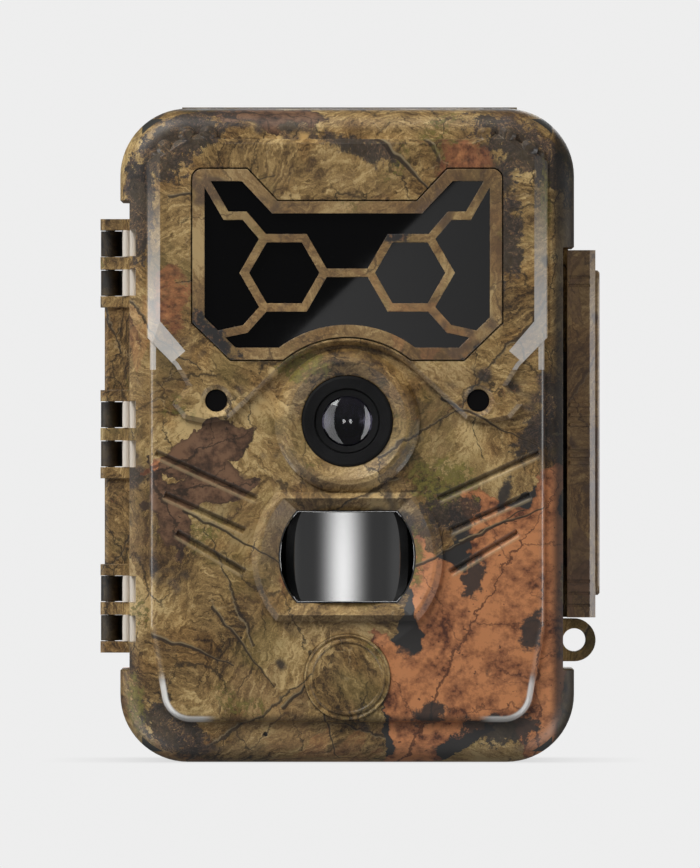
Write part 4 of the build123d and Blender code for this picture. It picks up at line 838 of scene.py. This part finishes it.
def front_picture(graph, groups, place, colour):
    """What lies at set places on the front of the film, over the general pattern."""
    leaf, twig = groups["leaf"], groups["twig"]
    shaken = shake(graph, place, 0.24, 6.0)
    shade = placed_leaf(graph, leaf, shaken, RUST_SHADE)
    colour = graph.mix(shade["Leaf"], colour, SHADOW)
    rust, plum = (RUST, RUST_LIGHT, RUST_VEIN), (PLUM_DARK, PLUM, TWIG_DARK)
    listed = [(spec, rust) for spec in RUST_LEAVES] + [(spec, plum) for spec in PLUM_LEAVES]
    for spec, tones in listed:
        one = placed_leaf(graph, leaf, shaken, spec)
        colour = graph.mix(one["Leaf"], colour, leaf_colours(graph, place, one, *tones))
    for centre, reach, stretch, turn in LEAF_GAPS:
        gap = blot(graph, place, centre, reach, stretch, turn)
        colour = graph.mix(gap * 0.93, colour, SHADOW)
    rusty = graph.ramp(graph.noise(place, 0.6, 4.0, 0.7), (0.35, RUST_VEIN), (0.5, RUST),
                       (0.7, RUST_LIGHT))
    for centre, reach, stretch in RUSTY_SPOTS:
        colour = graph.mix(blot(graph, place, centre, reach, stretch) * 0.8, colour, rusty)
    scraps = litter(graph, place)
    for centre, reach, stretch, turn in LITTER_SPOTS:
        colour = graph.mix(blot(graph, place, centre, reach, stretch, turn) * 0.92, colour, scraps)
    speck = graph.noise(place, 0.8, 4.0, 0.7)
    green = graph.ramp(speck, (0.42, MOSS_DARK), (0.6, MOSS))
    for centre, reach, stretch in MOSS_SPOTS:
        there = blot(graph, place, centre, reach, stretch) * graph.ease(speck, 0.4, 0.5)
        colour = graph.mix(there * 0.85, colour, green)
    for start, turn, length, thickness in TWIGS:
        local = seen_from(graph, place, start, turn)
        one = graph.call(twig, Place=local, Length=length, Thickness=thickness)
        colour = graph.mix(one["Twig"] * 0.9, colour, TWIG_DARK)
        colour = graph.mix(one["Light"] * 0.45, colour, TWIG_LIGHT)
    return colour


def inside_housing(graph):
    """1 on the bare inside of a housing and on its meeting edge, 0 on the printed outside."""
    x, y, z = graph.here()
    hollow = (abs(x) < CAVITY_HALF_W) * (abs(z - MID_Z) < CAVITY_HALF_H)
    hollow = hollow * (abs(y - CAVITY_MID_Y) < CAVITY_HALF_DEPTH)
    return graph.most(hollow, abs(y - SPLIT_Y) < MEETING_EDGE)


def behind_panels(graph):
    """1 on the front housing's surfaces that face back into it."""
    _, y, _ = graph.here()
    return (graph.facing_back() > INNER_FACE_NORMAL) * (y < INNER_FACE_Y)


def window_well(graph):
    """1 in the black well round the motion window."""
    x, _, z = graph.here()
    up = z - PIR_Z
    away = graph.vector("LENGTH", graph.join(x, up))
    return (abs(up) < PIR_HALF_H + WELL_GAP_Z) * (away < PIR_R + WELL_GAP_R)


def funnels(graph):
    """1 in the sloping mouths round the lens, the motion window and the eyelets."""
    x, _, z = graph.here()
    out = abs(x)
    mask = 0.0
    for centre_x, centre_z, reach in MOUTHS:
        away = graph.vector("LENGTH", graph.join(out - centre_x, z - centre_z))
        mask = graph.most(mask, graph.ease(away, reach, reach - 0.6))
    return mask


def facets(graph):
    """1 on the wide facets at both sides of the upper panel."""
    x, _, z = graph.here()
    return (abs(x) > FACET_X) * (z > FACET_LOW_Z)


def facet_painted_highlight(graph):
    """1 on the sloping part of those facets, where a pale painted highlight goes, strongest
    towards their lower ends.
    """
    _, y, z = graph.here()
    sloping = graph.facing_back() > FLAT_FRONT_NORMAL
    fading = graph.ease(z, FACET_HIGH_Z, FACET_LOW_Z + 8.0)
    return sloping * (y < FACET_BACK_Y) * fading * facets(graph)


def corner_painted_highlight(graph):
    """1 along the rounded lower corners of the lower panel, where a pale painted highlight goes.
    """
    x, y, z = graph.here()
    from_corner = graph.join(abs(x) - PANEL_CORNER[0], z - PANEL_CORNER[1])
    near = graph.ease(graph.vector("LENGTH", from_corner), *CORNER_REACH)
    return near * graph.ease(y, *ROUNDING_FRONT) * graph.ease(y, *ROUNDING_BACK)


def gill_painted_light(graph, above, faint, full):
    """1 along a line beside every gill, on both sides of the front: where painted shade and
    painted highlights go.
    """
    x, y, z = graph.here()
    place = graph.join(abs(x), z)
    mask = 0.0
    for (start_x, start_z), (end_x, end_z) in GILLS:
        run, rise = start_x - end_x, start_z - end_z
        local = graph.turn(graph.moved(place, -end_x, -end_z), -math.atan2(rise, run))
        along, across, _ = graph.split(local)
        half = math.hypot(run, rise) / 2
        within = graph.ease(abs(along - half), half + 0.5, half - 1.0)
        mask = graph.most(mask, within * graph.ease(abs(across - above), faint, full))
    return mask * (y < GILLS_BACK_Y)


def bead_painted_highlight(graph):
    """1 on the beads in the hinge's pockets, where a pale painted highlight goes."""
    x, y, z = graph.here()
    near = [abs(abs(z - centre) - BEAD_OFF) for centre in HINGE_CENTRES]
    nearest = graph.math("MINIMUM", graph.math("MINIMUM", near[0], near[1]), near[2])
    high = nearest < BEAD_HALF_H
    side = abs(x - BEAD_X) < BEAD_HALF_W
    front = y < BEAD_BACK_Y
    return high * side * front


def film_finish(graph, sockets, colour, bare=None, dull=None):
    """Satin film over moulded plastic: fine grain, faint waviness and worn edges."""
    here = graph.object_mm()
    grain = graph.noise(here, 5.0, 2.0, 0.6)
    wave = graph.noise(here, 0.35, 2.0)
    relief = wave * 1.6 + grain * 0.5
    worn = graph.edges(0.35) * graph.ease(graph.noise(here, 0.45, 4.0, 0.7), 0.52, 0.66)
    colour = graph.mix(worn * 0.35, colour, TWIG_LIGHT)
    gloss = graph.noise(here, 0.18, 4.0, 0.6)
    roughness = graph.ease(gloss, 0.35, 0.7, 0.30, 0.42, smooth=False)
    if bare is not None:
        colour = graph.mix(bare, colour, BARE_PLASTIC)
        roughness = bare * 0.18 + roughness
    if dull is None:
        sockets["Coat Weight"].default_value = COAT
    else:
        graph.feed(sockets["Coat Weight"], graph.ease(dull, 0.0, 0.6, COAT, 0.0))
        roughness = dull * 0.2 + roughness
    finish_shader(graph, sockets, colour, roughness, graph.bump(relief, 0.035, 0.3),
                  Coat_Roughness=0.13)


def camo_front(groups):
    """Film on the front housing, with the set leaves, painted shade on its right side and top,
    painted shade and highlights by the gills, and pale painted highlights on the hinge's beads,
    the panel's corners and the facets.
    """
    material, graph, sockets = new_material("camo_front")
    place = graph.call(groups["film"])["Place"]
    pattern = graph.call(groups["camouflage"], Place=place, Leaves=0.25)
    colour = front_picture(graph, groups, place, pattern["Color"])
    x, y, z = graph.here()
    right_side_painted_shade = graph.ease(x, *PAINTED_SHADE_SIDE_X, 0.0, SIDE_PAINTED_SHADE) * graph.ease(y, *PAINTED_SHADE_SIDE_Y)
    top_painted_shade = graph.ease(z, *PAINTED_SHADE_TOP_Z, 0.0, TOP_PAINTED_SHADE)
    # Painted shade on the right side and the top, and the black well round the motion window.
    black = graph.most(right_side_painted_shade, top_painted_shade, window_well(graph))
    colour = graph.mix(black, colour, BLACK_AND_PAINTED_SHADE)
    # Painted shade in the gills' grooves and a painted highlight on their lips.
    colour = graph.mix(gill_painted_light(graph, *GILL_PAINTED_SHADE) * 0.6, colour, BARK_SHADE)
    colour = graph.mix(gill_painted_light(graph, *GILL_PAINTED_HIGHLIGHT) * 0.35, colour, TWIG_LIGHT)
    # Pale painted highlights on the hinge's beads, the lower panel's corners and the upper facets.
    colour = graph.mix(bead_painted_highlight(graph), colour, BEAD_PAINTED_HIGHLIGHT)
    colour = graph.mix(corner_painted_highlight(graph) * 0.9, colour, PAINTED_HIGHLIGHT)
    colour = graph.mix(facet_painted_highlight(graph) * 0.5, colour, PAINTED_HIGHLIGHT)
    rim = graph.ease(y, *RIM_Y, 0.0, RIM_DULL)
    dull = graph.most(black, rim, facets(graph) * FACET_DULL, funnels(graph))
    bare = graph.most(inside_housing(graph), behind_panels(graph))
    film_finish(graph, sockets, colour, bare, dull)
    return material


def camo_back(groups):
    """Film on the back housing, with its hinge knuckles painted black as painted shade in the
    pockets.
    """
    material, graph, sockets = new_material("camo_back")
    place = graph.call(groups["film"])["Place"]
    moved = graph.moved(place, 14.0, 8.0)
    colour = graph.call(groups["camouflage"], Place=moved, Leaves=1.0)["Color"]
    x, y, z = graph.here()
    # Painted shade: the hinge knuckles are darkened to black where the pockets lie.
    knuckles = (abs(z - MID_Z) < KNUCKLES_HALF_H) * (y < KNUCKLES_BACK_Y)
    black = graph.ease(x, *KNUCKLES_X, 0.0, SIDE_PAINTED_SHADE) * knuckles
    colour = graph.mix(black, colour, BLACK_AND_PAINTED_SHADE)
    film_finish(graph, sockets, colour, inside_housing(graph), graph.most(black, BACK_DULL))
    return material


def camo_trim(groups, name, offset, turn, leaves, tint=None, patches=()):
    """Film on a separate part, printed from another stretch of the same pattern.

    Patches are (centre, reach, stretch, turn) of charred areas."""
    material, graph, sockets = new_material(name)
    place = graph.call(groups["film"])["Place"]
    moved = graph.vector("ADD", graph.turn(place, math.radians(turn)), (*offset, 0.0))
    colour = graph.call(groups["camouflage"], Place=moved, Leaves=leaves)["Color"]
    if tint:
        colour = graph.mix(0.35, colour, tint)
    char = graph.mix(graph.ease(graph.noise(place, 0.7, 4.0, 0.7), 0.52, 0.66), SHADOW, PLUM)
    for centre, reach, stretch, lean in patches:
        colour = graph.mix(blot(graph, place, centre, reach, stretch, lean), colour, char)
    film_finish(graph, sockets, colour)
    return material


# Charred areas on the lamp window's frame: centre, reach, stretch, turn.
FRAME_PATCHES = (
    ((-29.5, 90.5), 2.9, (2.6, 1.2), -42.0),
    ((10.0, 113.0), 1.6, (2.0, 1.0), 0.0),
    ((29.0, 87.5), 1.8, (2.0, 1.0), 30.0),
)


# ---------------------------------------------------------------- other materials
MOULDED_EDGE = 0.25  # rounding of moulded pieces' edges, mm


def moulded(name, base, shade, roughness, grain, depth, wear=0.35, **constants):
    """Moulded plastic or rubber: spark texture, cloudy tone and paler worn edges."""
    material, graph, sockets = new_material(name)
    here = graph.object_mm()
    cloud = graph.noise(here, 0.12, 4.0, 0.6)
    colour = graph.ramp(cloud, (0.3, shade), (0.7, base))
    texture = graph.noise(here, grain, 4.0, 0.7)
    pale = tuple(min(1.0, 0.06 + 1.7 * value) for value in base[:3]) + (1.0,)
    spotty = graph.ease(graph.noise(here, 0.8, 3.0), 0.35, 0.65, 0.2, 1.0)
    rubbed = graph.edges(MOULDED_EDGE) * spotty
    colour = graph.mix(rubbed * wear, colour, pale)
    rough = graph.ease(texture, 0.3, 0.7, roughness - 0.07, roughness + 0.08, smooth=False)
    finish_shader(graph, sockets, colour, rough, graph.bump(texture, depth, MOULDED_EDGE),
                  **constants)
    return material


def glossy_pane(name, base, roughness, smear=0.05, **constants):
    """Polished dark pane: smudges in its gloss and specks of dust."""
    material, graph, sockets = new_material(name)
    here = graph.object_mm()
    smudge = graph.noise(here, 0.10, 5.0, 0.65)
    rough = graph.ease(smudge, 0.45, 0.75, roughness, roughness + smear)
    dust = graph.ease(graph.noise(here, 3.5, 1.0), 0.74, 0.80, 0.0, 0.12)
    colour = graph.mix(dust, base, srgb(70, 70, 70))
    finish_shader(graph, sockets, colour, rough, graph.rounded(0.12), **constants)
    return material


def clear_glass(name, tint, ior, **constants):
    """Lens glass: clear and polished, its coating unevenly tinted."""
    material, graph, sockets = new_material(name)
    here = graph.object_mm()
    tinted = graph.mix(graph.noise(here, 0.15, 2.0), tint, COATING)
    smear = graph.ease(graph.noise(here, 0.3, 3.0), 0.55, 0.8, 0.0, 0.03)
    finish_shader(graph, sockets, tinted, smear, None, Transmission_Weight=1.0, IOR=ior,
                  **constants)
    return material


def metal(name, base, shade, roughness):
    """Bare metal: turning or rolling lines, tarnish and small scratches."""
    material, graph, sockets = new_material(name)
    here = graph.object_mm()
    grooves = graph.noise(graph.stretch(here, 1.0, 1.0, 14.0), 1.6, 3.0, 0.7)
    tarnish = graph.noise(here, 0.5, 4.0, 0.65)
    colour = graph.ramp(tarnish, (0.35, shade), (0.62, base))
    rough = graph.ease(grooves, 0.3, 0.7, roughness - 0.06, roughness + 0.1, smooth=False)
    rough = rough + graph.ease(tarnish, 0.5, 0.3, 0.0, 0.15)
    finish_shader(graph, sockets, colour, rough, graph.bump(grooves, 0.006, 0.08), Metallic=1.0)
    return material


def circuit_board():
    """Solder mask over copper tracks, with plated holes."""
    material, graph, sockets = new_material("circuit_board")
    here = graph.object_mm()
    x, _, z = graph.split(here)
    lanes = graph.join(x, z)
    cells = graph.voronoi(lanes, 0.32, "Color", random=0.35)
    runs = []
    for axis in (x, z):
        runs.append(graph.ease(graph.math("PINGPONG", axis, 0.45), 0.26, 0.32))
    upright = graph.channels(cells)[0] > 0.5
    track = upright * runs[0] + (1.0 - upright) * runs[1]
    holes = graph.ease(graph.voronoi(lanes, 0.32, random=0.35), 0.16, 0.13)
    colour = graph.mix(track, srgb(12, 58, 34), srgb(24, 92, 52))
    colour = graph.mix(holes, colour, srgb(190, 170, 96))
    relief = graph.most(track, holes)
    rough = graph.ease(graph.noise(here, 0.8, 3.0), 0.3, 0.7, 0.26, 0.40)
    finish_shader(graph, sockets, colour, rough, graph.bump(relief, 0.03), Coat_Weight=0.3,
                  Coat_Roughness=0.2)
    return material


def lcd_face():
    """Screen in its metal tray: dark glass with a faint pixel grid over a pale bezel."""
    material, graph, sockets = new_material("lcd_face")
    rim, pixel = 2.2, 0.15
    x, _, z = graph.here()
    grid, inside = 1.0, 1.0
    low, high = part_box("lcd_module")
    for value, near, far in ((x, low.x, high.x), (z, low.z, high.z)):
        grid = graph.ease(graph.math("PINGPONG", value, pixel), 0.02, 0.05) * grid
        half, middle = (far - near) / 2 / MM - rim, (far + near) / 2 / MM
        inside = (abs(value - middle) < half) * inside
    glass = graph.mix(grid, srgb(12, 13, 16), srgb(24, 28, 34))
    tray = graph.mix(graph.noise(graph.stretch(graph.object_mm(), 1.0, 1.0, 12.0), 1.0, 3.0),
                     srgb(150, 152, 154), srgb(184, 186, 188))
    finish_shader(graph, sockets, graph.mix(inside, tray, glass),
                  graph.ease(inside, 0.0, 1.0, 0.35, 0.12), None)
    return material


def battery_sleeve():
    """Printed sleeve: dark body, a brass-coloured band at the plus end, bare steel ends."""
    material, graph, sockets = new_material("battery_sleeve")
    outer_plus, inner_plus, band_at = 43.0, 18.0, 30.0  # distances from the middle, in mm
    here = graph.object_mm()
    x, _, z = graph.split(here)
    low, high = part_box("batteries")
    middle = (low.z + high.z) / 2 / MM
    column = graph.math("ROUND", x / CELL_PITCH + 1.5)
    from_middle = abs(z - middle)
    plus_outside = abs(graph.math("MODULO", column, 2.0) - (z > middle))
    outer = 1.0 - plus_outside
    near_plus = outer * (from_middle > outer_plus) + (1.0 - outer) * (from_middle < inner_plus)
    scuffs = graph.ease(graph.noise(graph.stretch(here, 3.0, 3.0, 0.4), 1.2, 4.0, 0.7), 0.62,
                        0.75, 0.0, 0.5)
    colour = graph.mix(near_plus, srgb(26, 30, 34), srgb(178, 132, 62))
    band = graph.ease(abs(from_middle - band_at), 0.9, 0.7)
    colour = graph.mix(band * 0.9, colour, srgb(170, 172, 172))
    colour = graph.mix(scuffs, colour, srgb(120, 116, 108))
    flat_end = graph.node("ShaderNodeTexCoord").outputs["Normal"]
    end = abs(graph.split(flat_end)[2]) > 0.8
    colour = graph.mix(end, colour, srgb(176, 174, 168))
    graph.feed(sockets["Metallic"], graph.most(end, near_plus * 0.8))
    rough = graph.ease(graph.noise(here, 0.6, 3.0), 0.3, 0.7, 0.24, 0.4)
    finish_shader(graph, sockets, colour, rough, graph.bump(scuffs, 0.01, 0.3), Coat_Weight=0.2,
                  Coat_Roughness=0.15)
    return material


def card_material():
    """Memory card: dark case with a plain blue label."""
    material, graph, sockets = new_material("memory_card")
    here = graph.object_mm()
    x, y, z = graph.split(here)
    low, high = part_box("sd_card")
    mid_x, mid_z = low.x / MM + 15.0, (low.z + high.z) / 2 / MM
    half_w, half_h = 9.5, 9.6
    label = (abs(z - mid_z) < half_h) * (abs(x - mid_x) < half_w)
    label = label * (y > high.y / MM - 0.2)
    speckle = graph.noise(here, 2.5, 3.0, 0.7)
    colour = graph.mix(label * 0.9, srgb(22, 26, 36), srgb(64, 92, 120))
    pale = graph.ease(speckle, 0.6, 0.75, 0.0, 0.15)
    colour = graph.mix(pale, colour, srgb(150, 150, 150))
    finish_shader(graph, sockets, colour, graph.ease(speckle, 0.3, 0.7, 0.32, 0.46),
                  graph.bump(speckle, 0.012, 0.2))
    return material


def wear(material, *names):
    """Puts a material on nodes of the frame."""
    for name in names:
        slots = NODES[name].data.materials
        slots.clear()
        slots.append(material)


def dress():
    """Makes every material and puts it on its nodes."""
    leaf, twig = leaf_group(), twig_group()
    groups = {"leaf": leaf, "twig": twig, "film": film_group(),
              "camouflage": camouflage_group(leaf, twig)}
    wear(camo_front(groups), "front_shell")
    wear(camo_back(groups), "back_shell")
    wear(camo_trim(groups, "camo_frame", (57.0, -21.0), 90.0, 0.3, FRAME_TAN, FRAME_PATCHES),
         "lamp_window_frame")
    wear(camo_trim(groups, "camo_latch", (-33.0, 12.0), 0.0, 1.0, LATCH_BROWN), "latch_lever")
    wear(camo_trim(groups, "camo_emblem", (0.0, 0.0), 0.0, 0.0), "emblem_disc")
    wear(glossy_pane("infrared_pane", srgb(3, 3, 4), 0.01, 0.008, Specular_IOR_Level=0.3),
         "lamp_window")
    wear(glossy_pane("motion_window", srgb(9, 10, 11), 0.09, 0.0, IOR=2.6), "pir_lens")
    wear(moulded("bezel_black", srgb(25, 25, 26), srgb(13, 13, 14), 0.6, 1.8, 0.14, wear=0.12,
                 Specular_IOR_Level=0.15), "lens_bezel")
    wear(clear_glass("coated_glass", srgb(120, 120, 130), 1.1, Coat_Weight=1.0,
                     Coat_Roughness=0.05), "lens_window")
    wear(clear_glass("lens_element", srgb(120, 118, 150), 1.3), "lens_element")
    wear(moulded("barrel_black", srgb(11, 11, 12), srgb(6, 6, 7), 0.5, 4.0, 0.02, wear=0.05,
                 Specular_IOR_Level=0.2), "lens_barrel", "lens_holder", "ir_cut_slider",
         "pir_retainer")
    wear(glossy_pane("eyelet_dark", srgb(12, 11, 12), 0.35, Specular_IOR_Level=0.15),
         "indicator_lens", "light_sensor_window")
    wear(circuit_board(), "sensor_board", "pir_board", "led_board", "main_board")
    wear(moulded("chip_black", srgb(30, 30, 31), srgb(22, 22, 23), 0.45, 6.0, 0.01),
         "image_sensor", "board_chips", "power_pin_block", "dc_jack", "mode_switch_body",
         "tact_switches")
    wear(glossy_pane("lamp_epoxy", srgb(34, 26, 34), 0.08, Coat_Weight=0.6), "infrared_leds")
    wear(moulded("inner_black", srgb(44, 45, 44), srgb(33, 34, 33), 0.55, 1.9, 0.05),
         "inner_panel")
    wear(moulded("tray_black", srgb(36, 37, 38), srgb(27, 28, 28), 0.5, 2.4, 0.04), "battery_tray")
    wear(moulded("key_rubber", srgb(86, 88, 90), srgb(74, 76, 78), 0.62, 3.2, 0.02), "button_ok",
         "button_up", "button_down", "button_left", "button_right", "button_menu", "button_play")
    wear(moulded("knob_pale", srgb(176, 176, 170), srgb(158, 158, 152), 0.45, 3.0, 0.02),
         "mode_switch_knob")
    wear(moulded("soft_rubber", srgb(34, 34, 33), srgb(25, 25, 25), 0.72, 2.6, 0.04),
         "port_cover", "door_seal")
    wear(glossy_pane("screen_pane", srgb(9, 10, 13), 0.03), "screen_window")
    wear(lcd_face(), "lcd_module")
    wear(metal("blackened_steel", srgb(52, 50, 48), srgb(24, 23, 22), 0.42), "keeper_clip")
    wear(metal("nickel", srgb(206, 200, 188), srgb(176, 168, 152), 0.22), "battery_springs",
         "battery_contacts", "sd_socket", "usb_socket", "pir_sensor")
    wear(metal("steel", srgb(182, 182, 184), srgb(140, 138, 136), 0.27), "hinge_pins",
         "latch_pin", "microphone")
    wear(metal("zinc_steel", srgb(158, 158, 160), srgb(112, 110, 108), 0.33), "panel_screws",
         "board_screws", "tray_screws")
    wear(metal("brass", srgb(206, 168, 92), srgb(164, 126, 62), 0.26), "tripod_insert")
    wear(metal("gold_plate", srgb(226, 188, 98), srgb(196, 156, 74), 0.18), "power_pins",
         "contact_pads")
    wear(battery_sleeve(), "batteries")
    wear(card_material(), "sd_card")
    wear(moulded("paper_cone", srgb(34, 33, 32), srgb(24, 23, 23), 0.8, 1.2, 0.05), "speaker")


bpy.context.scene.view_settings.view_transform = "Standard"
add_camera()
add_world()
add_lights()
add_floor()
dress()
